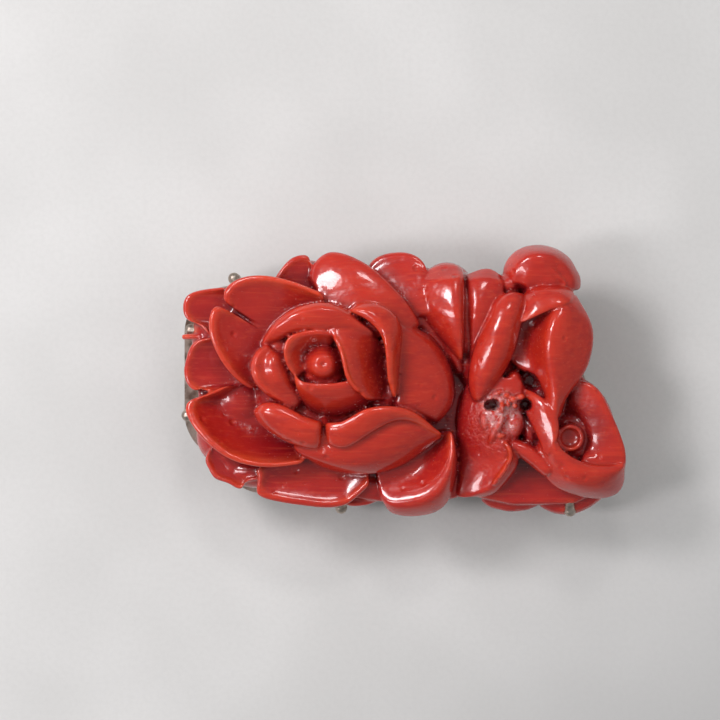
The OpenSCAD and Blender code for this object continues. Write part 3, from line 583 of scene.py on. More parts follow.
     [(-1.9, -12.3, 4.2), (-1.2, -13.2, 4.2), (0.5, -13.55, 4.2), (2.6, -13.35, 4.3), (4.2, -12.5, 4.6),
      (5.0, -10.8, 5.0), (5.4, -8.8, 5.4), (5.4, -6.8, 5.6), (4.9, -4.7, 5.8)],
     [(-2.4, -11.5, 4.8), (-1.4, -12.2, 5.6), (0.3, -12.35, 6.2), (2.2, -11.95, 6.8), (3.7, -10.9, 7.2),
      (4.6, -9.3, 7.4), (5.0, -7.8, 7.4), (5.05, -6.3, 7.0), (4.7, -4.8, 6.4)],
     [(-2.5, -10.9, 4.7), (-1.2, -11.3, 5.2), (0.3, -11.2, 5.7), (1.8, -10.7, 6.1), (3.0, -9.8, 6.4),
      (3.8, -8.6, 6.6), (4.3, -7.3, 6.6), (4.5, -6.1, 6.4), (4.5, -4.9, 6.0)],
     [(-2.6, -10.1, 4.6), (-1.4, -10.1, 4.6), (-0.2, -9.8, 4.7), (1.0, -9.3, 4.8), (2.0, -8.6, 4.9),
      (2.8, -7.6, 5.0), (3.3, -6.8, 5.1), (3.8, -5.9, 5.2), (4.1, -5.0, 5.3)],
     [(-2.8, -9.0, 4.8), (-1.8, -8.8, 4.8), (-0.8, -8.4, 4.8), (0.2, -7.8, 4.8), (1.2, -7.1, 4.8),
      (2.0, -6.4, 4.8), (2.6, -5.8, 4.8), (3.2, -5.3, 4.8), (3.7, -4.9, 4.8)]],
    # curled bud at the top right: its wrapping petal, the step inside it and its heart
    [2,
     [(10.0, 9.6, 5.0), (9.95, 10.6, 5.0), (10.15, 11.7, 5.0), (10.9, 12.8, 5.0), (12.2, 13.55, 5.0),
      (13.9, 13.7, 5.0), (15.5, 13.25, 5.0), (16.7, 12.35, 5.1), (17.3, 11.3, 5.2), (17.8, 10.3, 5.2),
      (17.7, 9.0, 5.4)],
     [(10.9, 9.7, 6.4), (10.9, 10.5, 6.7), (11.05, 11.3, 6.9), (11.6, 12.1, 7.1), (12.6, 12.7, 7.4),
      (13.9, 12.8, 7.5), (15.1, 12.5, 7.3), (15.9, 11.8, 7.0), (16.5, 11.0, 6.8), (16.9, 10.1, 6.6),
      (16.8, 9.0, 6.4)],
     [(11.6, 9.7, 6.5), (11.6, 10.3, 6.75), (11.7, 11.0, 6.95), (12.1, 11.5, 7.15), (12.9, 11.9, 7.35),
      (13.8, 11.9, 7.4), (14.7, 11.5, 7.1), (15.2, 11.0, 6.85), (15.6, 10.5, 6.7), (15.8, 9.9, 6.6),
      (15.9, 9.0, 6.5)],
     [(12.2, 9.4, 6.8), (12.2, 10.1, 7.1), (12.4, 10.7, 7.3), (12.8, 11.0, 7.4), (13.3, 11.2, 7.5),
      (13.8, 11.1, 7.5), (14.3, 10.8, 7.4), (14.7, 10.4, 7.3), (15.0, 10.1, 7.2), (15.2, 9.7, 7.0),
      (15.3, 9.0, 6.6)],
     [(12.6, 9.0, 6.5), (12.9, 9.1, 6.6), (13.1, 9.2, 6.7), (13.4, 9.3, 6.8), (13.7, 9.3, 6.8),
      (14.0, 9.3, 6.9), (14.2, 9.25, 6.9), (14.4, 9.2, 6.9), (14.55, 9.1, 6.8), (14.7, 8.95, 6.7),
      (14.8, 8.8, 6.6)]],
    # petal that the small blossom lies on, from the valley by the rose up to its crest and over its edge
    [2,
     [(6.6, 0.2, 5.2), (6.0, -0.9, 5.0), (5.6, -2.2, 4.8), (5.3, -4.0, 4.6), (5.5, -6.0, 4.6),
      (5.6, -8.0, 4.5), (5.5, -10.0, 4.3), (5.2, -11.8, 4.1)],
     [(8.2, 0.4, 6.3), (7.9, -0.8, 6.2), (7.3, -2.2, 5.9), (7.0, -4.0, 5.7), (6.8, -6.0, 5.2),
      (6.7, -8.0, 4.8), (6.5, -9.9, 4.5), (5.9, -11.8, 4.2)],
     [(9.4, 0.6, 6.8), (9.2, -0.7, 6.8), (8.6, -2.2, 6.8), (8.3, -4.0, 6.9), (8.2, -6.0, 6.2),
      (8.0, -7.8, 5.4), (7.6, -9.7, 4.8), (6.6, -11.7, 4.4)],
     [(10.6, 0.7, 7.0), (10.5, -0.7, 7.0), (9.9, -2.2, 7.0), (9.6, -4.0, 7.1), (9.3, -5.8, 6.9),
      (9.1, -7.3, 6.3), (8.7, -9.1, 5.6), (7.4, -11.4, 4.8)],
     [(11.8, 0.5, 6.8), (11.7, -0.9, 6.8), (11.4, -2.2, 6.8), (10.8, -4.0, 6.6), (10.1, -5.9, 7.2),
      (10.7, -7.2, 7.3), (10.0, -9.0, 6.7), (8.3, -11.1, 5.3)],
     [(12.3, 0.2, 6.2), (12.3, -1.0, 6.2), (12.2, -2.4, 6.0), (11.7, -4.2, 5.6), (11.0, -6.0, 6.4),
      (11.6, -7.5, 6.4), (11.0, -9.3, 5.7), (8.9, -11.6, 4.6)]],
    # back of the cup, from its far rim down to the floor
    [2,
     [(17.0, 0.2, 6.3), (18.3, 0.0, 6.7), (19.4, -0.7, 6.9), (20.1, -1.8, 7.0), (20.95, -3.6, 7.0),
      (21.7, -5.4, 6.9), (22.15, -6.9, 6.8), (22.2, -8.3, 6.5), (22.0, -9.8, 5.6)],
     [(16.8, -0.5, 6.3), (18.0, -0.7, 6.6), (19.0, -1.2, 6.8), (19.6, -2.1, 6.9), (20.4, -3.8, 6.9),
      (21.1, -5.5, 6.8), (21.5, -6.9, 6.7), (21.5, -8.2, 6.4), (21.3, -9.6, 5.6)],
     [(16.4, -1.9, 5.9), (17.0, -2.4, 6.1), (17.6, -2.9, 6.3), (18.1, -3.6, 6.3), (18.6, -4.8, 6.3),
      (19.1, -6.1, 6.4), (19.2, -7.1, 6.5), (19.3, -8.0, 6.9), (19.3, -9.4, 6.6)],
     [(16.0, -3.2, 4.8), (16.5, -3.5, 4.8), (17.0, -3.9, 4.8), (17.4, -4.4, 4.9), (17.8, -5.2, 5.2),
      (18.2, -6.2, 5.7), (18.1, -6.9, 6.2), (17.8, -7.6, 6.8), (17.4, -8.8, 6.8)]]]

# Ridges as sections: x, y and height of the crest, half width and half depth. A crest alone is a bead.
RIDGES = [
    # bottoms of the valleys: between the rose and the broad leaf, and between the broad leaves
    [(0.2, 7.6, 6.3, 0.8, 2.0), (1.6, 6.3, 6.2, 1.0, 2.0), (3.0, 5.0, 6.1, 1.1, 2.0),
     (4.4, 3.6, 6.0, 1.0, 2.0), (5.4, 2.2, 6.0, 0.8, 2.0), (5.9, 0.6, 5.0, 0.7, 2.0)],
    [(6.2, 11.0, 4.9, 0.6, 1.5), (6.2, 8.5, 6.9, 0.6, 2.0), (6.2, 5.5, 7.0, 0.6, 2.0),
     (6.2, 2.5, 6.3, 0.6, 2.0)],
    # branch from the blossom's petal to the cup
    [(9.8, -6.3, 6.4, 0.5, 1.0), (11.0, -6.4, 6.9, 0.75, 1.4), (12.2, -6.9, 7.1, 0.9, 1.6),
     (13.4, -7.8, 7.2, 0.9, 1.6), (14.8, -9.2, 7.2, 0.7, 1.4)],
    # fold of the small blossom, and the crest of the petal below its tip
    [(10.0, -3.3, 7.3, 0.3, 0.8), (9.5, -4.3, 7.5, 0.4, 0.8), (9.0, -5.2, 7.3, 0.4, 0.8),
     (8.6, -6.2, 6.6, 0.3, 0.7)],
    [(10.0, -5.9, 7.35, 0.2, 0.5), (10.5, -6.6, 7.55, 0.24, 0.5), (10.7, -7.4, 7.5, 0.24, 0.5),
     (10.35, -8.3, 7.2, 0.24, 0.5), (9.7, -9.3, 6.7, 0.24, 0.5), (8.9, -10.4, 6.0, 0.2, 0.5)],
    # crests of the tall petal and of the inner petal right of the bud
    [(-2.35, 6.2, 10.8), (-1.85, 4.8, 10.93), (-1.6, 3.3, 10.9), (-1.48, 2.0, 10.67), (-1.4, 0.8, 10.36),
     (-1.25, -0.3, 9.98)],
    [(-6.85, 4.6, 10.25), (-6.15, 3.2, 10.76), (-5.8, 1.8, 10.76), (-5.53, 0.6, 10.64),
     (-5.0, -0.3, 10.33), (-4.3, -1.0, 9.98)],
    # fold of the curled bud
    [(13.7, 11.8, 7.4, 0.25, 0.5), (14.7, 11.15, 7.25, 0.3, 0.5), (15.6, 10.3, 7.0, 0.3, 0.5),
     (16.3, 9.5, 6.75, 0.25, 0.5)],
    # thin spur at the far left
    [(-22.2, 4.45, 3.4, 0.25, 0.4), (-21.4, 4.5, 3.8, 0.3, 0.6), (-20.0, 4.5, 4.6, 0.35, 0.9)],
    # low petal behind the lower right claw
    [(13.7, -12.1, 2.2, 0.4, 0.6), (15.5, -12.5, 2.9, 0.9, 1.2), (17.4, -12.3, 3.0, 1.0, 1.2),
     (19.2, -11.5, 2.9, 0.8, 1.2), (20.7, -10.6, 2.6, 0.4, 0.8)]]

# Petals that fan out as sheets: root, share of the way in, dish, rim
PETALS = [
    # upper left pair behind the rose
    [(-8.5, 2, 5.6), 0.8, 0.5,
     [(-17.9, 7.8, 6.6), (-17.9, 9.2, 7.0), (-16.4, 10.35, 7.4), (-14.2, 10.65, 7.9), (-12.0, 10.3, 8.3),
      (-9.8, 9.6, 8.6), (-7.6, 8.6, 8.6)]],
    [(-9, 2, 5.4), 0.8, 0.7,
     [(-17.6, 7.2, 7.0), (-18.8, 7.6, 7.2), (-19.4, 6.3, 7.4), (-19.3, 4.6, 7.5), (-18.6, 2.8, 7.5),
      (-17.5, 1.1, 7.3), (-16.2, -0.2, 6.9), (-14.9, -0.9, 6.4)]],
    # far left three, low at the edge
    [(-12, 5, 4.8), 0.6, 0.1,
     [(-17.4, 9.5, 4.8), (-19.6, 9.3, 4.7), (-21.3, 8.9, 4.7), (-22.0, 8.1, 4.7), (-22.05, 6.9, 4.8),
      (-21.5, 6.05, 4.9), (-20.5, 5.75, 5.1), (-19.8, 5.0, 5.3), (-18.6, 4.0, 5.4)]],
    [(-12, 1, 5.0), 0.6, 0.2,
     [(-18.6, 4.5, 5.6), (-20.4, 4.25, 5.3), (-21.35, 3.5, 5.0), (-21.7, 2.4, 4.9), (-22.0, 1.1, 4.9),
      (-21.7, -0.2, 5.0), (-20.9, -0.95, 5.1), (-20.1, -0.75, 5.2), (-18.8, -1.4, 5.2)]],
    [(-10, -1.5, 4.6), 0.8, 1.6,
     [(-17.6, -0.2, 5.4), (-19.9, -1.35, 5.6), (-21.4, -1.85, 5.5), (-21.85, -2.8, 5.6),
      (-21.2, -4.3, 6.0), (-19.8, -6.0, 6.4), (-17.7, -7.6, 6.7), (-15.4, -8.4, 6.9), (-12.6, -8.6, 7.0),
      (-9.4, -8.1, 6.8)]],
    # low scalloped petal at the lower left
    [(-13, -4, 4.4), 0.55, 0.1,
     [(-18.4, -5.8, 4.4), (-19.4, -6.8, 4.0), (-19.9, -7.9, 3.9), (-19.5, -8.8, 3.9), (-18.9, -9.8, 4.0),
      (-17.6, -10.2, 4.1), (-16.8, -10.7, 4.1), (-16.15, -10.8, 4.2), (-15.8, -10.1, 4.4),
      (-14.6, -9.9, 4.7), (-13.6, -9.2, 5.0)]],
    # long petal along the bottom, and the low one under its right end
    [(-6, -3.5, 5.0), 0.75, 0.5,
     [(-14.9, -8.7, 5.5), (-14.5, -9.7, 5.5), (-14.75, -11.3, 5.2), (-13.0, -12.0, 5.2),
      (-10.5, -12.4, 5.2), (-8.0, -12.7, 5.1), (-5.9, -12.5, 5.0), (-4.6, -11.6, 5.2), (-3.0, -10.1, 5.4)]],
    [(-2, -6, 3.6), 0.6, 0,
     [(-6.4, -12.0, 3.2), (-5.4, -12.6, 3.1), (-3.2, -12.4, 3.1), (-1.6, -11.4, 3.4)]],
    # scalloped petal along the top, left of the rose's broad one
    [(-8, 3, 5.4), 0.6, 0.1,
     [(-13.2, 9.8, 5.6), (-12.3, 11.2, 5.5), (-11.3, 12.3, 5.5), (-10.3, 12.7, 5.5), (-9.45, 12.6, 5.5),
      (-9.2, 11.8, 5.7), (-8.7, 11.4, 5.9), (-8.0, 11.6, 5.9)]],
    # the one between the rose's broad petal and the broad leaf
    [(3.4, 3.2, 7.7), 0.7, -0.9,
     [(-3.8, 11.4, 4.3), (-2.6, 12.6, 4.5), (-0.8, 13.0, 4.8), (0.7, 12.9, 5.1), (2.0, 12.1, 5.4),
      (2.6, 10.6, 5.8)]]]

# Faces drawn round their edge: edge points, foot, and the insets and rises that crown them
PLATES = [
    # small leaf over the blossom, by the long leaf's edge
    [[(9.4, -0.5, 6.8), (9.9, 0.4, 7.1), (10.9, 1.6, 7.4), (11.7, 1.0, 7.5), (12.2, 0.2, 7.4),
      (11.9, -0.4, 7.1), (10.9, -0.35, 7.1), (10.1, -0.6, 6.9)],
     3,
     [(0.2, 0.25), (0.3, 0.1)]],
    # full tip of the blossom, its face set in from its rim
    [[(10.2, -3.3, 7.2), (10.9, -2.9, 7.3), (11.6, -2.6, 7.3), (12.15, -3.3, 7.3), (12.25, -4.3, 7.3),
      (11.9, -5.3, 7.2), (11.25, -6.05, 7.1), (10.6, -6.2, 7.0), (10.2, -5.5, 7.1), (10.05, -4.4, 7.2)],
     4,
     [(0.15, 0.6), (0.22, 0.3), (0.12, -0.12), (0.3, 0.0)]],
    # smooth petal at the bottom right of the middle
    [[(7.0, -12.1, 3.0), (8.8, -12.9, 2.9), (10.6, -13.4, 2.9), (12.6, -13.2, 2.9), (14.4, -12.4, 3.0),
      (15.4, -11.0, 3.4), (14.6, -9.2, 3.8), (13.2, -7.6, 4.0), (11.0, -7.6, 4.2), (8.6, -9.4, 3.8)],
     1,
     [(0.25, 0.6), (0.6, 0.6), (0.9, 0.4), (0.9, 0.15)]]]

# Bodies that fill the forms: x, y, top, half length, half width, half depth, and swing in degrees
DOMES = [
    (-6.8, 0.2, 7.1, 8.2, 7.2, 4.2, 0), (-8.6, -1.6, 7.0, 7.0, 5.8, 4.6, -20),
    (-2.6, -1.2, 6.9, 4.6, 5.0, 3.7, 0), (-8.0, 1.8, 8.0, 3.6, 3.2, 1.2, 0),
    (-12.3, 3.7, 8.2, 1.2, 1.4, 1.5, 30), (-3.6, 5.3, 8.9, 2.0, 1.4, 2, 0),
    (-14.5, 5.4, 5.4, 4.4, 4.4, 3.4, 0), (-10.6, 9.4, 4.9, 4.0, 2.0, 3, 20),
    (-2.0, -1.5, 7.6, 2.0, 1.6, 2, 0), (-11.2, 0.4, 8.2, 0.9, 1.3, 2, 20),
    (-7.9, -5.2, 8.3, 1.0, 1.9, 2, 0), (-8.0, -3.2, 7.1, 3.6, 1.2, 2, -5),
    (-16.0, -1.6, 4.5, 4.0, 3.6, 3, 0), (-6.8, 10.0, 4.9, 3.6, 2.4, 3, 0),
    (-17.5, -5.8, 4.4, 3.4, 3.0, 3, -30), (-3.2, -10.6, 4.3, 2.4, 1.6, 2, 0), (4.4, 8, 5.6, 3.2, 4.0, 3, 0),
    (5.2, -2, 4.2, 3.4, 5.6, 3, 0), (8.4, 4, 6.4, 3.6, 6.0, 3.2, 0), (14.6, 5, 6.2, 3.4, 5.0, 3.6, 0),
    (14.4, -1, 6, 3.4, 4.0, 3.4, 0), (17.2, -6.9, 6.1, 1.4, 1.2, 2, 0), (14.0, -5, 5.4, 2.0, 3.6, 2.6, 0),
    (18.0, -5, 5.2, 3.4, 5.4, 2.1, 10), (13.6, 10.6, 6.0, 3.4, 2.4, 2, 0), (10.5, 9.6, 6.3, 1.4, 1.2, 2, 0),
    (11.8, -10.4, 3.4, 3.2, 2.4, 2, 0), (-13.6, -9.0, 4.5, 4.6, 1.8, 2, 0),
    (-17.2, -8.2, 3.6, 2.4, 1.8, 2, -35), (-18.6, 4.0, 4.7, 2.6, 5.4, 2, 0),
    (-9.6, 10.6, 4.9, 2.4, 1.6, 2, 0), (16.9, -5.4, 6.0, 2.5, 2.3, 1.4, 0),
    (-7.9, 0.5, 8.9, 1.9, 0.8, 1, 0), (12.6, -4.9, 6.1, 0.9, 2.0, 2, 12)]

# Low lumps of the small blossom: the same numbers
KNOBS = [
    (9.8, -2.5, 7.6, 0.32, 0.8, 1.2, 0), (10.3, -1.35, 7.5, 0.45, 0.4, 1.0, 20),
    (10.95, -1.75, 7.7, 0.5, 0.42, 1.0, -20), (11.7, -1.5, 7.6, 0.5, 0.4, 1.0, 15),
    (10.4, -2.2, 7.5, 0.25, 0.5, 1.0, 10), (11.1, -2.4, 7.4, 0.4, 0.35, 1.0, 0),
    (9.5, -1.1, 7.3, 0.8, 0.35, 1.0, 20), (8.1, -4.0, 7.0, 0.5, 1.0, 0.9, 8),
    (9.75, -5.4, 7.5, 0.55, 0.35, 1.0, 25)]

# Drilled hollows: x, y, floor, radius
HOLES = [
    (8.55, -2.35, 5.0, 0.42), (9.0, -2.3, 4.8, 0.45), (12.2, -2.3, 4.8, 0.48), (12.6, 0.1, 4.4, 0.6),
    (12.3, 0.55, 4.6, 0.4), (13.05, -0.3, 4.6, 0.45)]

# The bud at the heart of the rose and the curl in the cup: their places, and radius and height
# from the middle of each outwards
BUD_PLACE = (-7.9, 1.75)
BUD = [
    (0.0, 9.62), (0.16, 9.63), (0.28, 9.74), (0.45, 9.8), (0.8, 9.72), (1.15, 9.45), (1.45, 9.05),
    (1.7, 8.6), (1.9, 8.1), (2.0, 7.5), (2.05, 6.8)]
CURL_PLACE = (16.6, -5.6)
CURL = [
    (0.0, 6.5), (0.5, 6.55), (0.85, 6.7), (1.0, 7.05), (1.16, 7.15), (1.34, 6.95), (1.44, 6.4), (1.47, 4.5)]

forms = [slab(BACK, BACK_THICK), turned_form(*BUD_PLACE, BUD), turned_form(*CURL_PLACE, CURL)]
forms += [ridge(rows) for rows in RIDGES]
forms += [petal(*row) for row in PETALS]
forms += [plate(*row) for row in PLATES]
forms += [band(*row) for row in BANDS]
forms += [dome(*row) for row in DOMES + KNOBS]

# All the forms are joined and melted into one closed skin
take(*forms)
bpy.ops.object.join()
coral = bpy.context.object
coral.name = coral.data.name = "carved_coral"
bpy.ops.object.transform_apply(location=True, rotation=True, scale=True)
coral.data.remesh_voxel_size = MELT_SIZE * MM
coral.data.remesh_voxel_adaptivity = 0
bpy.ops.object.voxel_remesh()
apply_modifier(coral, "SMOOTH", factor=0.5, iterations=3)

# Each drilled hollow is pushed down from the face, its sides first: how far out from its middle, as
# a share of its radius, and how much of the height above its floor is left
for x, y, floor, radius in HOLES:
    for share, left in ((1.3, 0.85), (1.1, 0.5), (0.9, 0.0)):
        put_down()
        for v in coral.data.vertices:
            off = math.hypot(v.co.x / MM - x, v.co.y / MM - y)
            v.select = off < radius * share and v.co.z > (floor + CORAL_BACK) * MM
        coral.data.edges.foreach_set("select", [False] * len(coral.data.edges))
        coral.data.polygons.foreach_set("select", [False] * len(coral.data.polygons))
        take(coral)
        edit()
        bpy.ops.mesh.select_mode(type="VERT")
        size_to((1, 1, left), spot(0, 0, floor))
        put_down()
apply_modifier(coral, "SMOOTH", factor=0.5, iterations=1)
triangles = 2 * len(coral.data.polygons)
if triangles > MOST_TRIANGLES:
    apply_modifier(coral, "DECIMATE", ratio=MOST_TRIANGLES / triangles)
take(coral)
bpy.ops.object.shade_smooth_by_angle(angle=math.radians(SMOOTH_ANGLE))


class Value:
    """A socket of a material's nodes, so that paint is written as sums."""

    def __init__(self, paint, socket):
        self.paint, self.socket = paint, socket

    def maths(self, operation, first, second):
        return self.paint.add("ShaderNodeMath", {"operation": operation}, {0: first, 1: second})

    def __add__(self, other):
        return self.maths("ADD", self, other)

    def __sub__(self, other):
        return self.maths("SUBTRACT", self, other)

    def __rsub__(self, other):
        return self.maths("SUBTRACT", other, self)

    def __mul__(self, other):
        return self.maths("MULTIPLY", self, other)

    __radd__ = __add__
    __rmul__ = __mul__


class Paint:
    """A material made by nodes on the piece's own place in millimetres."""

    def __init__(self, name, **constants):
        self.material = bpy.data.materials.new(name)
        self.material.use_nodes = True
        self.nodes = self.material.node_tree.nodes
        self.shader = self.nodes["Principled BSDF"]
        for k, v in constants.items():
            self.shader.inputs[k.replace("_", " ")].default_value = v
        place = self.add("ShaderNodeTexCoord", out="Object")
        self.here = self.vector("SCALE", place, Scale=1 / MM)

    def add(self, kind, settings=None, values=None, out=0):
        node = self.nodes.new(kind)
        for k, v in (settings or {}).items():
            setattr(node, k, v)
        for k, v in (values or {}).items():
            if isinstance(v, Value):
                self.material.node_tree.links.new(v.socket, node.inputs[k])
            else:
                node.inputs[k].default_value = v
        return Value(self, node.outputs[out])

    def vector(self, operation, a, b=None, out=0, **more):
        values = {0: a, **({1: b} if b is not None else {}), **more}
        return self.add("ShaderNodeVectorMath", {"operation": operation}, values, out)

    def noise(self, size, detail, rough, stretch=None):
        """Noise from 0 to 1 with features of that size in millimetres."""
        at = self.vector("MULTIPLY", self.here, stretch) if stretch else self.here
        return self.add("ShaderNodeTexNoise", {}, {"Vector": at, "Scale": 1 / size, "Detail": detail,
                                                   "Roughness": rough})

    def step(self, value, low, high, bottom=0.0, top=1.0):
        """A smooth step from bottom to top as the value goes from low to high."""
        return self.add("ShaderNodeMapRange", {"interpolation_type": "SMOOTHSTEP"},
                        {"Value": value, "From Min": low, "From Max": high, "To Min": bottom,
                         "To Max": top})

    def near(self, place, far, close, level=False):
        """From 0 to 1 as the surface comes from far to close by a place. Level leaves height out."""
        here = self.vector("MULTIPLY", self.here, (1, 1, 0)) if level else self.here
        return self.step(self.vector("DISTANCE", here, place, out=1), far, close)

    def openness(self, reach, inside=False):
        """Near 1 where nothing is within reach of the surface, looking outwards or into the piece."""
        return self.add("ShaderNodeAmbientOcclusion", {"samples": 6, "inside": inside},
                        {"Distance": reach * MM}, out=1)

    def mix(self, share, a, b):
        colour = lambda c: c if isinstance(c, Value) else (*c, 1)
        values = {0: share, 6: colour(a), 7: colour(b)}
        return self.add("ShaderNodeMix", {"data_type": "RGBA"}, values, out=2)

    def bump(self, height, strength, distance, under=None):
        values = {"Height": height, "Strength": strength, "Distance": distance * MM}
        if under:
            values["Normal"] = under
        return self.add("ShaderNodeBump", {}, values)

    def feed(self, **sockets):
        for k, v in sockets.items():
            self.material.node_tree.links.new(v.socket, self.shader.inputs[k.replace("_", " ")])
        return self.material


# The coral's colours
BODY_DARK = (0.38, 0.012, 0.010)
BODY = (0.46, 0.019, 0.010)
# Painted light: the raised parts, painted lighter and more orange as where the light falls on them
RAISED_LIT = (0.55, 0.038, 0.012)
# Painted glow: thin edges painted orange, as light shining through the coral
THIN_EDGE_GLOW = (0.70, 0.090, 0.025)
# Painted shade: the dark of the hollows and crevices
HOLLOW_SHADE = (0.13, 0.002, 0.008)
GROWTH_DARK = (0.28, 0.006, 0.009)
GROWTH_PALE = (0.64, 0.075, 0.03)
# Painted shade: the dark at the bottom of the cup
CUP_FLOOR_SHADE = (0.20, 0.010, 0.012)
# Pale specks in the hollows: partly the pale grit of rough pits, partly painted sparkle
SPECK_SPARKLE = (0.75, 0.42, 0.40)
CHALK = (0.54, 0.28, 0.27)

# Where the small blossom is rough from carving, where it is chalky, and the middle of the painted
# shade at the bottom of the cup, in millimetres from the scene's origin
BLOSSOM_ROUGH = (9.0, -4.4, 0)
BLOSSOM_CHALK = (9.8, -3.1, 0)
CUP_SHADE_MIDDLE = (18.0, -4.8, 9.8)

# Growth lines run along the coral's length, so the noise for them is drawn out that way
ALONG = (0.12, 1, 1)
FAR_ALONG = (0.05, 1, 1)


def coral_paint():
    p = Paint("polished_coral", Subsurface_Weight=0.5, Subsurface_Radius=(1.0, 0.14, 0.06),
              Subsurface_Scale=0.0013, Coat_Weight=0.6, Coat_Roughness=0.04, Specular_IOR_Level=0.4)
    cloud = p.noise(5.0, 3, 0.55)
    growth = p.noise(0.7, 3, 0.6, ALONG)
    lines = p.step(p.noise(0.3, 2, 0.5, FAR_ALONG), 0.52, 0.72)
    # Painted shade: from 0 to 1 as the surface is shut in by the carving around it, darkening the hollows
    hollow = p.step(p.openness(6.0), 0.8, 0.25)
    # Painted glow: from 0 to 1 where the piece is thin, so thin edges are painted as if light shone through
    # them
    edge = p.step(p.openness(1.1, inside=True), 0.8, 0.3)
    # Painted light: from 0 to 1 as the surface rises from 8 to 14 mm, so the raised parts are painted
    # lighter
    high = p.step(p.add("ShaderNodeSeparateXYZ", {}, {"Vector": p.here}, out=2), 8.0, 14.0)
    # Pale specks kept to the hollows: partly the grit of rough pits, partly painted sparkle
    sparkle_specks = p.step(p.noise(0.3, 2, 0.5), 0.67, 0.73) * p.step(hollow, 0.5, 0.85)
    dusty = p.near(BLOSSOM_CHALK, 2.9, 1.0, level=True) * p.step(p.noise(0.5, 3, 0.6), 0.36, 0.6)
    tone = p.mix(p.step(cloud, 0.3, 0.7), BODY_DARK, BODY)
    for share, colour in ((high * 0.6, RAISED_LIT), (edge * 0.55, THIN_EDGE_GLOW), (hollow * 0.85, HOLLOW_SHADE),
                          (p.step(growth, 0.4, 0.7) * 0.35, GROWTH_DARK),
                          (p.near(CUP_SHADE_MIDDLE, 3.4, 1.2) * 0.55, CUP_FLOOR_SHADE), (lines * 0.22, GROWTH_PALE),
                          (sparkle_specks * 0.45, SPECK_SPARKLE), (dusty * 0.7, CHALK)):
        tone = p.mix(share, tone, colour)
    pits = p.step(p.noise(0.35, 2, 0.5), 0.7, 0.76)
    chips = p.noise(0.45, 3, 0.6) * p.near(BLOSSOM_ROUGH, 3.6, 1.6, level=True)
    wobble = p.noise(1.6, 2, 0.5)
    scratch = p.noise(0.22, 2, 0.6, ALONG)
    nick = p.add("ShaderNodeTexVoronoi", {}, {"Vector": p.here, "Scale": 0.55, "Randomness": 1.0})
    nicks = (1 - p.step(nick, 0.02, 0.25)) * p.step(p.noise(5.0, 1, 0.5), 0.42, 0.55)
    rough = 0.16 + 0.10 * cloud + 0.12 * pits + 0.05 * scratch
    normal = None
    for height, strength, distance in ((wobble, 0.22, 0.5), (1 - nicks, 0.8, 0.17), (chips, 0.9, 0.30),
                                       (scratch, 0.12, 0.05), (1 - pits, 0.35, 0.08)):
        normal = p.bump(height, strength, distance, normal)
    return p.feed(Base_Color=tone, Roughness=rough, Normal=normal)


def silver_paint(name, bright, warm, tarnish):
    p = Paint(name, Metallic=1.0)
    cloud = p.noise(1.8, 3, 0.6)
    fine = p.noise(0.25, 3, 0.6)
    worn = p.step(p.add("ShaderNodeNewGeometry", out="Pointiness"), 0.5, 0.56)
    tone = p.mix(p.step(cloud, 0.35, 0.65, 0.0, tarnish), bright, warm)
    tone = p.mix(worn * 0.5, tone, bright)
    rough = 0.24 + 0.22 * cloud + 0.08 * fine
    normal = p.bump(fine, 0.25, 0.06, p.bump(cloud, 0.2, 0.25))
    return p.feed(Base_Color=tone, Roughness=rough, Normal=normal)


def paper_paint():
    """Pale paper, with painted shade that makes it a little darker towards the lower right."""
    p = Paint("pale_paper", Roughness=0.75, Specular_IOR_Level=0.25)
    grain = p.noise(0.5, 4, 0.6)
    cloud = p.noise(22.0, 2, 0.5)
    away = p.vector("DOT_PRODUCT", p.here, (0.55, -0.84, 0), out=1)
    tone = p.mix(p.step(cloud, 0.3, 0.7), (0.56, 0.56, 0.54), (0.62, 0.62, 0.60))
    tone = p.mix(p.step(grain, 0.35, 0.7) * 0.12, tone, (0.44, 0.44, 0.42))
    # Painted shade: the paper darkens towards the lower right
    tone = p.mix(p.step(away, 12, 52, 0.0, 0.6), tone, (0.38, 0.38, 0.37))
    return p.feed(Base_Color=tone, Normal=p.bump(grain, 0.2, 0.06))


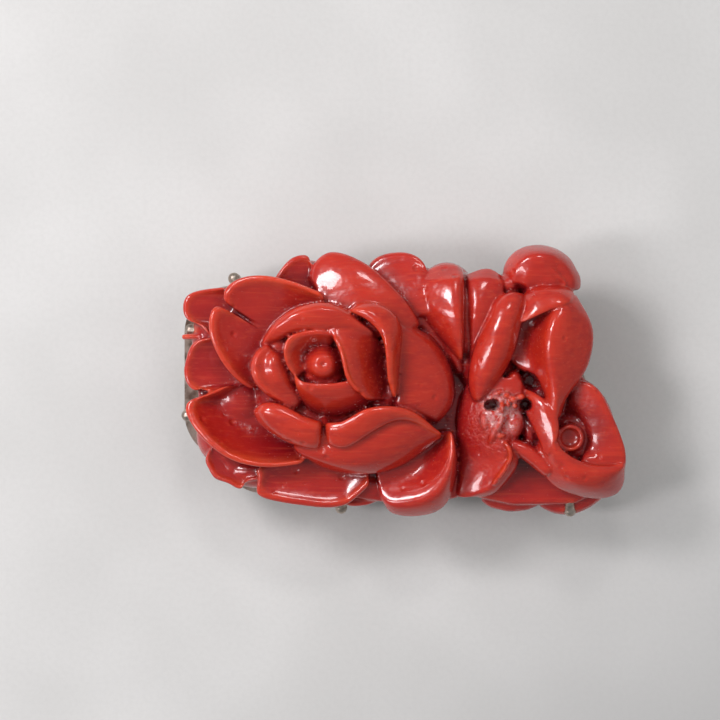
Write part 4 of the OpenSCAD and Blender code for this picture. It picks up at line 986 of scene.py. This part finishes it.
# Each metal piece's paint: its name, bright and tarnished colours, and how far it is tarnished
METALS = {"setting_frame": ("tarnished_silver", (0.58, 0.50, 0.42), (0.13, 0.085, 0.06), 0.9),
          "pin_clasp": ("pin_silver", (0.66, 0.62, 0.56), (0.24, 0.19, 0.15), 0.6)}

coral.data.materials.clear()
coral.data.materials.append(coral_paint())
for node, silver in METALS.items():
    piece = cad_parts[node]
    piece.data.materials.clear()
    piece.data.materials.append(silver_paint(*silver))

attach(coral, "root")
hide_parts("coral_carving")

# The paper that the brooch lies on, with its width in metres
PAPER_WIDE = 0.9
put_down()
bpy.ops.mesh.primitive_plane_add(size=PAPER_WIDE, location=(0, 0, 0))
paper = bpy.context.object
paper.name = paper.data.name = "paper"
paper.data.materials.append(paper_paint())

# What the lights are aimed at, in metres
LIT_PLACE = Vector((0, 0, 0.01))
WINDOW_TINT = (1.0, 0.95, 0.99)


def soft_light(name, at, wide, high, power, tint=(1, 1, 1), mirrored=True):
    """An area light, in metres and watts. One that isn't mirrored leaves no streak on the polish."""
    data = bpy.data.lights.new(name, "AREA")
    data.shape, data.size, data.size_y = "RECTANGLE", wide, high
    data.energy, data.color = power, tint
    light = bpy.data.objects.new(name, data)
    bpy.context.scene.collection.objects.link(light)
    light.location = at
    light.rotation_euler = (LIT_PLACE - Vector(at)).to_track_quat("-Z", "Y").to_euler()
    light.visible_glossy = mirrored


soft_light("window", (-0.205, 0.145, 0.245), 0.095, 0.065, 0.50, WINDOW_TINT)
soft_light("left_window", (-0.28, -0.04, 0.28), 0.065, 0.18, 0.54, WINDOW_TINT)
soft_light("north_window", (0.02, 0.30, 0.32), 0.09, 0.05, 0.22, (1.0, 0.96, 0.98))
soft_light("key", (-0.17, 0.13, 0.21), 0.20, 0.16, 0.22, mirrored=False)
soft_light("fill", (0.26, 0.02, 0.40), 0.30, 0.30, 0.53, mirrored=False)

bpy.context.scene.view_settings.view_transform = "Standard"
world = bpy.data.worlds.new("studio")
bpy.context.scene.world = world
world.use_nodes = True
world.node_tree.nodes["Background"].inputs["Color"].default_value = (0.80, 0.82, 0.85, 1)
world.node_tree.nodes["Background"].inputs["Strength"].default_value = 0.35
